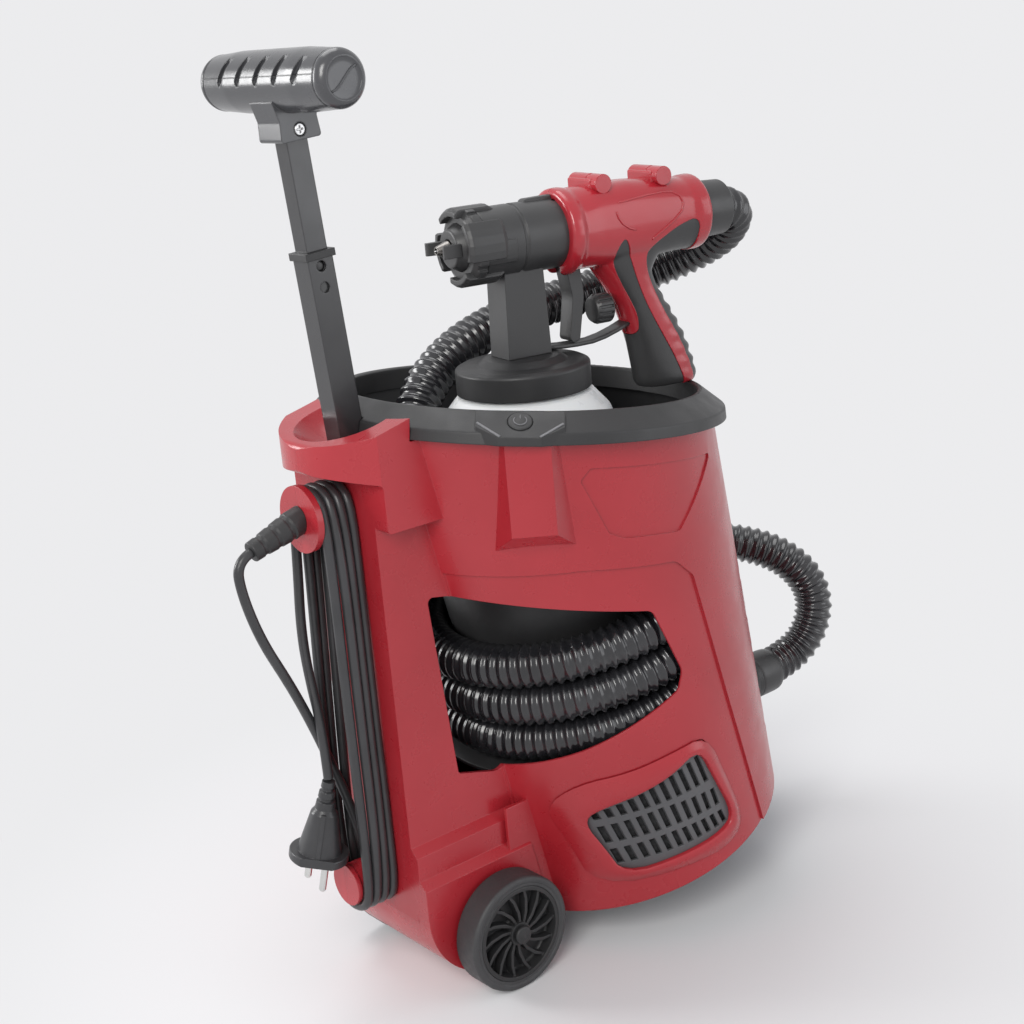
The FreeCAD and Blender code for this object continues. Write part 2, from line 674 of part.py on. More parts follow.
def housing_form():
    tub = cut("TubShell", meet("TubForm", skin("TubOuter", 0.0, -0.2, 1.2), band("TubBand")),
              skin("TubInner", tub_wall, -0.25, 1.25))
    hollow = rear_hollow()
    shell = fuse("HousingShell", cut("TubOpened", tub, hollow),
                 cut("RearOpened", rear_part(), hollow))
    near_recess = skin_layer("NearRecess", -6.0, recess_depth, side_slab("NearRecessArea", [
        (-160.0, 10.0),
        (86.0, 10.0),
        (88.0, 62.0),
        (51.0, 171.0),
        (20.0, 268.0, 8.0),
        (4.0, 282.0, 12.0),
        (-61.0, 290.0),
        (-160.0, 290.0),
    ]))
    far_recess = skin_layer("FarRecess", -6.0, recess_depth, side_slab("FarRecessArea", [
        (-160.0, 10.0),
        (86.0, 10.0),
        (88.0, 62.0),
        (51.0, 171.0),
        (20.0, 268.0, 8.0),
        (4.0, 282.0, 12.0),
        (-61.0, 290.0),
        (-160.0, 290.0),
    ], near=False))
    panel = skin_layer("PanelRecess", -6.0, recess_depth * 0.7, side_slab("PanelArea", [
        (-57.0, 357.0, 3.0),
        (-63.0, 350.0, 3.0),
        (-45.0, 312.0, 5.0),
        (-35.0, 307.0, 5.0),
        (9.0, 301.0, 5.0),
        (53.0, 341.0, 2.0),
    ]))
    vent_bed = skin_layer("VentBed", -6.0, recess_depth * 1.8,
                          side_slab("VentBedArea", vent_outline(6.0)))
    dents = []
    for count in range(5):
        height = dent_top - dent_pitch * count
        share = (height - base_ring_z) / (top_ring_z - base_ring_z)
        x = base_ring_x + (top_ring_x - base_ring_x) * share
        away = base_ring_radius + (top_ring_radius - base_ring_radius) * share + dent_radius - 1.8
        for side in (-1, 1):
            dent = cylinder("FingerDent", dent_radius, 30.0)
            seat(dent, ((x, 0, height), (0, 0, 1), 40.0 * side),
                 ((away, 15.0, 0), (1, 0, 0), 90))
            dents.append(dent)
    shell = cut("HousingRecessed", shell, near_recess, far_recess, panel, vent_bed, *dents)
    column = doc.addObject("Part::Wedge", "Column")
    column_out = top_ring_radius + column_stand
    bind(column, Xmin=-column_half, Xmax=column_half, Ymin=column_out - 26.0, Ymax=column_out,
         Zmin=-column_drop, Zmax=8.0, X2min=-column_face, X2max=column_face,
         Z2min=18.0 - column_drop, Z2max=8.0)
    place(column, (top_ring_x + 6.0, 0, top_ring_z + 4.0), (0, 0, 1), column_turn)
    column_part = cut("ColumnPart", column, skin("ColumnTrim", tub_wall / 2, 0.3, 1.2))
    drum_x = -spine_rear - drum_reach
    drum = cylinder("UpperDrum", drum_radius, drum_reach + 2.0, (drum_x, 0, spool_z), "x")
    disc = cylinder("UpperDisc", spool_radius, lip_thickness,
                    (drum_x - lip_thickness, 0, spool_z), "x")
    hook = cylinder("LowerDrum", drum_radius, drum_reach + 2.0, (drum_x, 0, hook_z), "x")
    lip = cylinder("LowerLip", hook_lip_radius, lip_thickness * 0.7,
                   (drum_x - lip_thickness * 0.7, 0, hook_z), "x")
    boss = cylinder("PortBoss", port_radius + port_wall, port_front - 140.0, (140.0, 0, port_z), "x")
    boss_part = cut("PortBossPart", boss, skin("PortTrim", tub_wall / 2, -0.1, 0.6))
    bosses = []
    for name, at, length in SCREWS[1:]:
        x, y, z = at
        bosses.append(cylinder(name + "Boss", screw_boss, y * 2 + 2.0, (x, -y - 1.0, z), "y"))
    whole = fuse("HousingWhole", shell, column_part, drum, disc, hook, lip, boss_part, *bosses)
    near_window = side_slab("NearWindow", window_outline(window_front))
    far_window = side_slab("FarWindow", window_outline(window_front + far_window_extra), near=False)
    near_spine_side = slab("NearSpineWindow", window_outline(window_front), "xz",
                           -spine_half - 3.0, 5.0 + tub_wall)
    far_spine_side = slab("FarSpineWindow", window_outline(window_front + far_window_extra), "xz",
                          spine_half - 2.0 - tub_wall, 5.0 + tub_wall)
    vent = side_slab("VentOpening", vent_outline(0.0))
    rim_seat = cut("RimSeat", cylinder("RimSeatDrum", collar_lip + fit_gap, 60.0, (0, 0, -4.0)),
                   cylinder("RimSeatKeep", collar_inside - fit_gap, 14.0, (0, 0, -14.0)))
    seat(rim_seat, RIM)
    scoop = ball("Scoop", scoop_radius, (-158.0, 0, 419.0))
    channel = socket_box("SocketRoom", socket_wall + fit_gap * 0.2, -70.0, 60.0)
    gland = cylinder("GlandHole", 5.0, 60.0, (-spine_rear - 45.0, 0, spool_z), "x")
    port_hole = cylinder("PortHole", port_radius, 90.0, (110.0, 0, port_z), "x")
    axle_hole = cylinder("AxleHole", axle_radius + run_gap, tail_half * 2 + 20.0,
                         (wheel_x, -tail_half - 10.0, wheel_radius), "y")
    return cut("Housing", whole, near_window, far_window, near_spine_side, far_spine_side, vent,
               rim_seat, scoop, channel, gland, port_hole, axle_hole,
               *[screw_room(name + "ScrewRoom", length + 2.0, 3.0, 30.0, (at, (1, 0, 0), -90))
                 for name, at, length in SCREWS])


housing = housing_form()


right_side = box("RightSide", reach * 3, reach, reach * 3, (-reach * 1.5, -reach, -reach))
left_side = box("LeftSide", reach * 3, reach, reach * 3, (-reach * 1.5, 0, -reach))
piece("housing_right", meet("HousingRight", housing, right_side))
piece("housing_left", meet("HousingLeft", housing, left_side))
piece("housing_screws", fuse("HousingScrews", *[
    screw(name + "Screw", length, 2.8, (at, (1, 0, 0), -90)) for name, at, length in SCREWS]))


# The rim collar, the power button and its switch

button_turn = column_turn + 90.0
button_spot = [RIM, ((0, 0, 0), (0, 0, 1), button_turn), ((129.0, 0, 9.7), (0, 1, 0), 35.0)]

collar_ring = turned("CollarRing", [
    (collar_hole, 0.0),
    (collar_hole, collar_rise - 1.0, 1.0),
    (collar_hole + 3.0, collar_rise, 1.5),
    (collar_lip - 1.0, 4.0, 2.0),
    (collar_lip, -3.0),
    (collar_inside, -3.0),
    (collar_inside, 0.0),
])
seat(collar_ring, RIM)
tab = slab("CollarTabPlan", [
    (collar_hole + 3.5, -badge_half),
    (collar_lip - 5.0, -badge_half, 1.5),
    (collar_lip + 2.5, 14.0 - badge_half, 1.5),
    (collar_lip + 2.5, badge_half - 14.0, 1.5),
    (collar_lip - 5.0, badge_half, 1.5),
    (collar_hole + 3.5, badge_half),
], "xy", -3.0, 20.0)
seat(tab, RIM, ((0, 0, 0), (0, 0, 1), button_turn))
tab_lower = cylinder("TabLower", collar_inside, 20.0)
seat(tab_lower, RIM, ((0, 0, -20.0), (0, 0, 1), 0))
button_room = cylinder("ButtonRoom", button_radius + fit_gap, 30.0)
seat(button_room, *button_spot, ((0, 0, -5.2), (0, 0, 1), 0))
switch_room = cylinder("SwitchRoom", switch_radius + 0.1, 10.0)
seat(switch_room, *button_spot, ((0, 0, -7.1), (0, 0, 1), 0))
tube_notch = socket_box("CollarTubeNotch", 0.8, -20.0, 60.0)
tab_slope = box("TabSlope", 60.0, 60.0, 30.0)
seat(tab_slope, *button_spot, ((-30.0, -30.0, 0.6), (0, 0, 1), 0))
collar_tab = cut("CollarTab", tab, tab_lower, tab_slope)
piece("collar", cut("Collar", fuse("CollarSolid", collar_ring, collar_tab), button_room,
                    switch_room, tube_notch))
button = seat(turned("PowerButtonTurned", [
    (0.0, 0.0),
    (button_radius - 1.0, 0.0),
    (button_radius - 1.0, 1.0),
    (button_radius, 1.0),
    (button_radius, 5.2, 0.8),
    (0.0, 5.8),
]), *button_spot, ((0, 0, -3.8), (0, 0, 1), 0))
piece("power_button", button)
switch = cylinder("PowerSwitch", switch_radius, 1.8)
seat(switch, *button_spot, ((0, 0, -7.0), (0, 0, 1), 0))
piece("power_switch", switch)


# Hose store: deck, core and the tray that carries the gun

coil_inset = tub_wall + 1.4
core_inset = coil_inset + hose_diameter + 3.5


def layer(name, inset, low_lift, high_lift):
    """A plate parallel to the base plane, filling the tub's skin moved in by inset."""
    return cut(name, meet(name + "Above", skin(name + "Skin", inset, -0.2, 1.2),
                          band(name + "Band", low_lift)),
               band(name + "Top", high_lift, 60.0))


deck = layer("DeckPlate", tub_wall + fit_gap, deck_lift, deck_lift + deck_thickness)
piece("hose_deck", deck)


def under_tray(name, drop):
    """Everything below the stepped tray floor, by a drop under it."""
    low = tray_floor - tray_thickness - drop
    return slab(name, [
        (-reach, -60.0),
        (reach, -60.0),
        (reach, tray_step - tray_thickness - drop),
        (step_x + drop, tray_step - tray_thickness - drop),
        (step_x + drop, low),
        (-reach, low),
    ], "xz", -reach, reach * 2)


deck_top = deck_lift + deck_thickness + fit_gap * 0.5
core_area = meet("CoreArea", skin("CoreSkin", core_inset, -0.2, 1.2), band("CoreBand", deck_top),
                 under_tray("CoreUnderTray", 0.2))
piece("hose_core", cut("HoseCore", core_area, skin("CoreInside", core_inset + 2.0, -0.25, 1.25)))

coil_high = deck_top + hose_diameter * coil_turns
coil_area = meet("CoilArea", skin("CoilSkin", coil_inset, -0.2, 1.2), band("CoilBand", deck_top),
                 under_tray("CoilUnderTray", 1.0))
coil = cut("HoseCoil", coil_area, skin("CoilInside", coil_inset + hose_diameter, -0.25, 1.25),
           band("CoilTop", coil_high, 80.0))
piece("hose_coil", coil)

tray_outside = meet("TrayOutside", skin("TraySkin", tub_wall + 1.0, -0.2, 1.2),
                    band("TrayBand", 0.0, -0.2), slab("TrayArea", [
                        (-reach, tray_floor - tray_thickness),
                        (step_x, tray_floor - tray_thickness),
                        (step_x, tray_step - tray_thickness),
                        (reach, tray_step - tray_thickness),
                        (reach, reach * 3),
                        (-reach, reach * 3),
                    ], "xz", -reach, reach * 2))
tray_inside = meet("TrayInside", skin("TrayHollow", tub_wall + 1.0 + tray_thickness, -0.25, 1.25),
                   slab("TrayRoom", [
                       (-reach, tray_floor),
                       (step_x - tray_thickness, tray_floor),
                       (step_x - tray_thickness, tray_step),
                       (reach, tray_step),
                       (reach, reach * 3),
                       (-reach, reach * 3),
                   ], "xz", -reach, reach * 2))
hose_hole = cylinder("HoseHole", hose_diameter / 2 + 1.5, 60.0, (hose_hole_x, hose_hole_y, 260.0))
piece("gun_tray", cut("GunTray", tray_outside, tray_inside, hose_hole))


# Air side: grille, filter, base plate, fan, motor and outlet


grille_plate = skin_layer("GrillePlate", tub_wall + 0.1, tub_wall + 0.1 + grille_thickness,
                          side_slab("GrilleArea", vent_outline(5.0)))
slots = []
for row in range(3):
    for count in range(13):
        one = box("GrilleSlot", slot_width, 80.0, slot_height)
        seat(one, ((-68.0, -130.0, 66.0), (0, 1, 0), -row_rise),
             ((slot_pitch * (count + 1) + row * 3.0, 0, row_pitch * row), (0, 1, 0),
              row_rise - slot_lean))
        slots.append(one)
slot_area = meet("SlotArea", fuse("SlotSet", *slots), side_slab("SlotBounds", vent_outline(-5.0)))
piece("grille", cut("Grille", grille_plate, slot_area))
filter_layer = skin_layer("FilterPad", tub_wall + 0.4 + grille_thickness,
                          tub_wall + 6.4 + grille_thickness,
                          side_slab("FilterArea", vent_outline(3.0)))
piece("filter_pad", filter_layer)

piece("base_plate", layer("BasePlate", tub_wall + fit_gap, 1.0, 1.0 + plate_thickness))

foot_form = cut("FootForm", middle_box("FootBlock", foot_depth, foot_width, 90.0,
                                       (foot_x, 0, pad_thickness)),
                middle_box("FootHollow", foot_depth - 6.0, foot_width - 6.0, 90.0,
                           (foot_x, 0, pad_thickness + 3.0)))
piece("front_foot", cut("FrontFoot", foot_form, band("FootTrim", 0.8)))
piece("foot_pad", middle_box("FootPad", foot_depth - 2.0, foot_width - 2.0, pad_thickness - 0.1,
                             (foot_x, 0, 0)))


stand = cut("FanStandForm", cylinder("FanStandOut", 40.0, fan_low - 30.0, (fan_x, 0, 30.0)),
            cylinder("FanStandIn", 36.0, 100.0, (fan_x, 0, 20.0)),
            slab("FanStandTrim", [
                (-reach, -60.0),
                (reach, -60.0),
                (reach, plane_height(reach, base_ring_x, base_ring_z, base_ring_tilt)
                 + plate_thickness + 1.2),
                (-reach, plane_height(-reach, base_ring_x, base_ring_z, base_ring_tilt)
                 + plate_thickness + 1.2),
            ], "xz", -reach, reach * 2))
ports = []
for count in range(6):
    port = box("StandPort", 20.0, 22.0, 9.0)
    seat(port, ((fan_x, 0, 74.0), (0, 0, 1), 60.0 * count + 30.0), ((30.0, -11.0, 0), (0, 0, 1), 0))
    ports.append(port)
piece("fan_stand", cut("FanStand", stand, *ports))

fan_shell = turned("FanShell", [
    (inlet_radius, 0.0),
    (fan_radius, 0.0, 3.0),
    (fan_radius, fan_height, 3.0),
    (shaft_radius + 1.0, fan_height),
    (shaft_radius + 1.0, fan_height - fan_wall),
    (fan_radius - fan_wall, fan_height - fan_wall),
    (fan_radius - fan_wall, fan_wall),
    (inlet_radius, fan_wall),
], at=(fan_x, 0, fan_low))
fan_mouth = cylinder("FanMouth", duct_bore, 60.0, (fan_x + 20.0, 0, port_z), "x")
piece("fan_housing", cut("FanHousing", fan_shell, fan_mouth))

impeller = doc.addObject("PartDesign::Body", "Impeller")
disc_sketch = body_sketch(impeller, "ImpellerDisc", "XZ_Plane", [
    (0.0, 4.0),
    (8.0, 4.0),
    (8.0, 22.0),
    (fan_radius - 6.0, 24.0),
    (fan_radius - 6.0, 26.0),
    (shaft_radius, 26.0),
    (shaft_radius, fan_height + 8.0),
    (0.0, fan_height + 8.0),
])
disc_turn = impeller.newObject("PartDesign::Revolution", "ImpellerTurn")
disc_turn.Profile = disc_sketch
disc_turn.ReferenceAxis = (disc_sketch, ["V_Axis"])
disc_turn.Angle = 360.0
blade_sketch = body_sketch(impeller, "ImpellerBlade", "XY_Plane", [
    (12.0, 0.0),
    (26.0, 3.0),
    (fan_radius - 7.0, 12.0),
    (fan_radius - 8.0, 14.0),
    (25.0, 5.5),
    (12.0, 2.0),
])
blade_sketch.AttachmentOffset = FreeCAD.Placement(Vector(0, 0, 10.0), Rotation())
blade_pad = impeller.newObject("PartDesign::Pad", "ImpellerBladePad")
blade_pad.Profile = blade_sketch
blade_pad.Length = 15.0
impeller.Tip = blade_pad
doc.recompute()
blades = impeller.newObject("PartDesign::PolarPattern", "ImpellerBlades")
blades.Originals = [blade_pad]
blades.Axis = (blade_sketch, ["N_Axis"])
blades.Angle = 360.0
blades.Occurrences = 9
impeller.Tip = blades
place(impeller, (fan_x, 0, fan_low))
piece("impeller", impeller)

motor_form = cut("MotorForm", cylinder("MotorDrum", motor_radius, 90.0,
                                       (fan_x, 0, fan_low + fan_height + 0.1)),
                 cylinder("MotorShaftRoom", shaft_radius + 0.6, 12.0,
                          (fan_x, 0, fan_low + fan_height - 1.0)),
                 band("MotorTrim", deck_lift - 0.2, 60.0))
piece("motor_can", motor_form)

duct_start = fan_x + fan_radius - 1.0
duct = cut("DuctForm", cylinder("DuctOut", port_radius - 0.3, port_front - 2.0 - duct_start,
                                (duct_start, 0, port_z), "x"),
           cylinder("DuctIn", duct_bore, 200.0, (duct_start - 10.0, 0, port_z), "x"),
           cylinder("DuctFan", fan_radius + 0.1, 80.0, (fan_x, 0, fan_low - 10.0)))
piece("outlet_duct", duct)


# Wheels on their axle

axle_reach = tail_half + wheel_gap + wheel_width + 1.0


def wheel(side, name):
    body = doc.addObject("PartDesign::Body", "Hub" + name)
    sketch = body_sketch(body, "Hub%sProfile" % name, "XZ_Plane", [
        (axle_radius + run_gap * 0.5, -wheel_width / 2),
        (hub_boss, -wheel_width / 2),
        (hub_boss + 0.5, -1.5, 2.0),
        (hub_radius - rim_thickness - 1.0, -1.5, 2.0),
        (hub_radius - rim_thickness, -wheel_width / 2 + 1.0),
        (hub_radius, -wheel_width / 2 + 1.0),
        (hub_radius, wheel_width / 2 - 0.5, 1.0),
        (hub_radius - rim_thickness, wheel_width / 2 - 0.5),
        (hub_radius - rim_thickness - 1.0, 1.5, 2.0),
        (hub_boss + 0.5, 1.5, 2.0),
        (hub_boss, wheel_width / 2 - 1.0),
        (axle_radius + run_gap * 0.5, wheel_width / 2 - 1.0),
    ])
    spin = body.newObject("PartDesign::Revolution", "Hub%sTurn" % name)
    spin.Profile = sketch
    spin.ReferenceAxis = (sketch, ["V_Axis"])
    spin.Angle = 360.0
    fin = body_sketch(body, "Hub%sFin" % name, "XY_Plane", [
        (hub_boss - 1.0, -0.9),
        (15.0, 1.4),
        (23.0, 6.5),
        (28.4, 12.5),
        (27.2, 13.9),
        (21.8, 8.3),
        (14.2, 3.4),
        (hub_boss - 1.0, 0.9),
    ])
    pad = body.newObject("PartDesign::Pad", "Hub%sFinPad" % name)
    pad.Profile = fin
    bind(pad, Length=wheel_width / 2 - 2.5)
    body.Tip = pad
    doc.recompute()
    fins = body.newObject("PartDesign::PolarPattern", "Hub%sFins" % name)
    fins.Originals = [pad]
    fins.Axis = (fin, ["N_Axis"])
    fins.Angle = 360.0
    fins.Occurrences = int(fin_count.number)
    fins.setExpression("Occurrences", fin_count.formula)
    body.Tip = fins
    middle = (tail_half + wheel_gap + wheel_width / 2) * side
    where = ((wheel_x, middle, wheel_radius), (1, 0, 0), -90 * side)
    seat(body, where)
    piece("wheel_hub_" + name, body)
    tyre = turned("Tyre" + name, [
        (hub_radius + 0.05, -wheel_width / 2 + 1.0),
        (hub_radius + 3.0, -wheel_width / 2),
        (wheel_radius, -wheel_width / 2, 2.5),
        (wheel_radius, wheel_width / 2, 2.5),
        (hub_radius + 3.0, wheel_width / 2, 1.0),
        (hub_radius + 2.2, wheel_width / 2 - 0.8),
        (hub_radius + 0.05, wheel_width / 2 - 0.8),
    ])
    seat(tyre, where)
    piece("tyre_" + name, tyre)
    cap = turned("PushCap" + name, [
        (0.0, 0.0),
        (axle_radius + 2.5, 0.0),
        (axle_radius + 2.0, 1.6, 1.0),
        (0.0, 2.6),
    ])
    seat(cap, ((wheel_x, axle_reach * side, wheel_radius), (1, 0, 0), -90 * side))
    return cap


piece("push_caps", fuse("PushCaps", wheel(-1, "right"), wheel(1, "left")))
piece("axle", cylinder("Axle", axle_radius, axle_reach * 2 - 0.1,
                       (wheel_x, -axle_reach + 0.05, wheel_radius), "y"))


# The telescopic handle


def tube_box(name, deep, wide, low, high):
    """A box on the handle's own axis."""
    return middle_box(name, deep, wide, high - low, (0, 0, low))


socket = cut("SocketForm", tube_box("SocketOut", tube_deep + socket_wall * 2,
                                    tube_wide + socket_wall * 2, -70.0, 2.0),
             tube_box("SocketIn", tube_deep + slide_fit * 2, tube_wide + slide_fit * 2,
                      -80.0, 10.0))
piece("handle_socket", seat(socket, HANDLE))

outer_holes = [cylinder("SnapHole%d" % n, snap_radius + 0.15, 12.0,
                        (0, -tube_wide / 2 - 6.0, snap_height - snap_step * n), "y")
               for n in range(2)]
outer = cut("OuterTubeForm", tube_box("OuterTubeOut", tube_deep, tube_wide, outer_low, outer_high),
            tube_box("OuterTubeIn", tube_deep - tube_wall * 2, tube_wide - tube_wall * 2,
                     outer_low - 10.0, outer_high + 10.0), *outer_holes)
piece("outer_tube", seat(outer, HANDLE))

inner_deep = tube_deep - tube_wall * 2 - slide_fit * 2
inner_wide = tube_wide - tube_wall * 2 - slide_fit * 2
collar_cap = cut("TubeCollarForm",
                 fuse("TubeCollarOut", tube_box("TubeCollarTop", tube_deep + 3.0, tube_wide + 3.0,
                                                outer_high + 0.05, outer_high + 3.5),
                      cut("TubeCollarSkirt", tube_box("TubeCollarBand", tube_deep + 3.0,
                                                      tube_wide + 3.0, outer_high - 1.0,
                                                      outer_high + 0.1),
                          tube_box("TubeCollarRoom", tube_deep + 0.1, tube_wide + 0.1,
                                   outer_high - 2.0, outer_high + 0.05))),
                 tube_box("TubeCollarIn", inner_deep + slide_fit * 2, inner_wide + slide_fit * 2,
                          outer_high - 10.0, outer_high + 10.0))
piece("tube_collar", seat(collar_cap, HANDLE))

button_hole = cylinder("InnerSnapHole", snap_radius + 0.15, 12.0,
                       (0, -inner_wide / 2 - 6.0, snap_height), "y")
screw_hole = cylinder("InnerScrewHole", screw_radius + 0.1, 30.0, (0, -15.0, neck_low + 6.0), "y")
inner_tube = cut("InnerTubeForm", tube_box("InnerTubeOut", inner_deep, inner_wide, inner_low,
                                           inner_high),
                 tube_box("InnerTubeIn", inner_deep - 2.6, inner_wide - 2.6, inner_low - 10.0,
                          inner_high + 10.0), button_hole, screw_hole)
piece("inner_tube", seat(inner_tube, HANDLE))

snap = turned("SnapButton", [
    (0.0, 0.0),
    (snap_radius + 1.2, 0.0),
    (snap_radius + 1.2, 1.2),
    (snap_radius, 1.2),
    (snap_radius, 5.0, 1.2),
    (0.0, 5.3),
])
seat(snap, HANDLE, ((0, -inner_wide / 2 + 2.6 + snap_sunk, snap_height), (1, 0, 0), 90))
piece("snap_button", snap)
spring = slab("SnapSpringShape", [
    (-3.55 + snap_sunk, 0.0),
    (-3.05 + snap_sunk, 0.0),
    (-3.05 + snap_sunk, -20.0),
    (4.4, -20.0),
    (4.4, 0.0),
    (4.9, 0.0),
    (4.9, -20.5),
    (-3.55 + snap_sunk, -20.5),
], "yz", -2.0, 4.0)
seat(spring, HANDLE, ((0, 0, snap_height + 3.0), (0, 0, 1), 0))
piece("snap_spring", spring)

grip_form = turned("GripBarrel", [
    (0.0, -grip_half + 4.0),
    (grip_radius - 2.2, -grip_half + 4.0),
    (grip_radius - 0.8, -grip_half * 0.55, 60.0),
    (grip_radius - 0.8, grip_half * 0.55, 60.0),
    (grip_radius - 2.2, grip_half - 4.0),
    (0.0, grip_half - 4.0),
])
seat(grip_form, HANDLE, ((0, 0, grip_height), (1, 0, 0), 90))
neck = slab("GripNeck", [
    (-14.0, neck_low, 2.0),
    (14.0, neck_low, 2.0),
    (13.0, neck_low + 12.0, 3.0),
    (16.0, neck_low + 24.0),
    (-16.0, neck_low + 24.0),
    (-13.0, neck_low + 12.0, 3.0),
], "xz", -12.0, 24.0)
seat(neck, HANDLE)
neck_room = seat(box("NeckRoom", inner_deep + 0.2, inner_wide + 0.2, inner_high - neck_low + 10.2),
                 HANDLE, ((-(inner_deep + 0.2) / 2, -(inner_wide + 0.2) / 2, neck_low - 10.0),
                          (0, 0, 1), 0))
grip_screw_at = [HANDLE, ((0, -12.0, neck_low + 6.0), (1, 0, 0), 90)]
neck_screw_room = screw_room("NeckScrewRoom", 22.0, 1.2, 8.0, *grip_screw_at,
                             ((0, 0, -1.4), (0, 0, 1), 0))
grip_slots = []
for count in range(5):
    plan = slab("GripSlot%d" % count, [
        (-2.6, -15.0, 2.5),
        (2.6, -15.0, 2.5),
        (2.6, 9.0, 2.5),
        (-2.6, 9.0, 2.5),
    ], "xy", 0.0, 12.0)
    seat(plan, HANDLE, ((0, -44.0 + 20.0 * count, grip_height), (0, 1, 0), -62.0),
         ((0, 0, grip_radius - 3.4), (0, 0, 1), 68.0))
    grip_slots.append(plan)
grip_all = cut("GripAll", fuse("GripFuse", grip_form, neck), neck_room, neck_screw_room,
               *grip_slots)
split_low = seat(box("GripSplitLow", 80.0, 200.0, 80.0), HANDLE,
                 ((-40.0, -100.0, grip_height + 5.0 - 80.0), (0, 0, 1), 0))
split_high = seat(box("GripSplitHigh", 80.0, 200.0, 40.0), HANDLE,
                  ((-40.0, -100.0, grip_height + 5.1), (0, 0, 1), 0))
piece("grip_body", meet("GripBody", grip_all, split_low))
piece("grip_top", meet("GripTop", grip_all, split_high))
grip_ends = []
for side, name in ((-1, "right"), (1, "left")):
    end = turned("GripEnd" + name, [
        (0.0, 0.0),
        (grip_radius - 3.6, 0.0),
        (grip_radius - 3.6, 0.6),
        (grip_radius - 1.4, 0.6),
        (grip_radius - 2.6, 5.0, 3.0),
        (grip_radius - 8.0, 7.5, 6.0),
        (0.0, 8.2),
    ])
    seat(end, HANDLE, ((0, (grip_half - 4.0 + 0.1) * side, grip_height), (1, 0, 0), -90 * side))
    grip_ends.append(end)
piece("grip_ends", fuse("GripEnds", *grip_ends))
piece("grip_screw", screw("GripScrew", 20.0, 1.2, *grip_screw_at, ((0, 0, -1.4), (0, 0, 1), 0)))


# The spray gun with its cup, standing in the tray


GUN = ((gun_x, gun_y, 0), (0, 0, 1), gun_yaw)
ALONG_X = (0, 1, 0)
cup_low = tray_floor + 0.3
neck_top = cup_low + cup_height


def on_barrel(x):
    """A frame on the barrel's line whose Z runs to the back of the gun."""
    return [GUN, ((x, 0, barrel_z), ALONG_X, 90)]


body_upper = meet("GunUpper", slab("GunUpperSide", [
    (30.0, barrel_z + 22.0, 4.0),
    (30.0, barrel_z - 22.0, 3.0),
    (65.0, barrel_z - 25.0),
    (141.0, barrel_z - 24.0, 5.0),
    (141.0, barrel_z + 21.0, 6.0),
    (84.0, barrel_z + 27.5, 60.0),
], "xz", -22.0, 44.0), cylinder("GunUpperRound", 27.0, 140.0, (20.0, 0, barrel_z - 1.0), "x"))
gun_grip = slab("GunGripSide", [
    (64.0, barrel_z - 10.0),
    (65.0, barrel_z - 24.5, 6.0),
    (73.0, 436.0, 14.0),
    (91.0, 402.0, 20.0),
    (88.5, grip_low, 7.5),
    (138.0, grip_low, 7.5),
    (132.0, 400.0, 20.0),
    (119.0, 452.0, 14.0),
    (140.0, barrel_z - 20.0),
    (140.0, barrel_z - 10.0),
], "xz", -15.0, 30.0)
long_edges = rounded("GunGripRounded", gun_grip, grip_edge,
                     lambda edge: abs(abs(edge.CenterOfMass.y) - 15.0) < 0.01
                     and edge.CenterOfMass.z < 455.0)
lugs = []
for x in (61.0, 108.0):
    lugs.append(cylinder("GunLug", 6.5, 34.0, (x, -17.0, barrel_z + 28.5), "y"))
    lugs.append(box("GunLugFoot", 13.0, 30.0, 14.0, (x - 6.5, -15.0, barrel_z + 14.0)))
guard = slab("GunGuard", [
    (35.0, 409.5, 2.0),
    (88.0, 409.5),
    (88.0, 413.5),
    (35.0, 413.5, 1.5),
], "xz", -7.0, 14.0)
pad_area = slab("GripPadArea", [
    (60.0, 455.0),
    (92.0, 455.0, 8.0),
    (107.0, 436.0, 20.0),
    (122.0, 402.0, 20.0),
    (127.0, grip_low + 4.0, 4.0),
    (119.0, grip_low - 2.0),
    (60.0, grip_low - 2.0),
], "xz", -18.0, 36.0)
pad_core = slab("GripPadCore", [
    (60.0 + 9.0, 470.0),
    (60.0 + 9.5, 456.0),
    (77.5, 436.0, 14.0),
    (95.0, 400.0, 20.0),
    (92.5, grip_low - 5.0),
    (150.0, grip_low - 5.0),
    (150.0, 470.0),
], "xz", -12.6, 25.2)
grip_pad_form = cut("GripPadForm", meet("GripPadOuter", long_edges, pad_area), pad_core,
                    box("GuardRoom", 60.0, 14.4, 4.4, (35.0, -7.2, 409.3)))
trigger_slot = box("TriggerSlot", 32.0, trigger_width + 0.8, 56.0,
                   (28.0, -(trigger_width + 0.8) / 2, barrel_z - 34.0))
needle_bore = cylinder("NeedleBore", needle_radius + 0.3, 180.0, (-60.0, 0, barrel_z), "x")
spring_room = cylinder("SpringRoom", 6.0, 40.0, (50.0, 0, barrel_z), "x")
hose_bore = cylinder("HoseBore", 12.3, 30.0, (118.0, 0, barrel_z), "x")
barrel_bore = cylinder("BarrelBore", barrel_back + 0.2, 36.0, (20.0, 0, barrel_z), "x")
pivot_bore = cylinder("PivotBore", 2.05, 60.0, (pivot_x, -30.0, pivot_z), "y")
knob_bore = cylinder("KnobBore", 3.2, 26.0, (50.0, 0, knob_z), "x")
front_ring = cylinder("GunFrontRing", gun_ring, 9.0, (29.9, 0, barrel_z), "x")
rear_ring = cylinder("GunRearRing", gun_ring - 3.0, 8.0, (133.0, 0, barrel_z), "x")
gun_head = fuse("GunHead", body_upper, front_ring, rear_ring)
gun_whole = fuse("GunWhole", cut("GunUpperCut", gun_head, barrel_bore), long_edges, guard, *lugs)
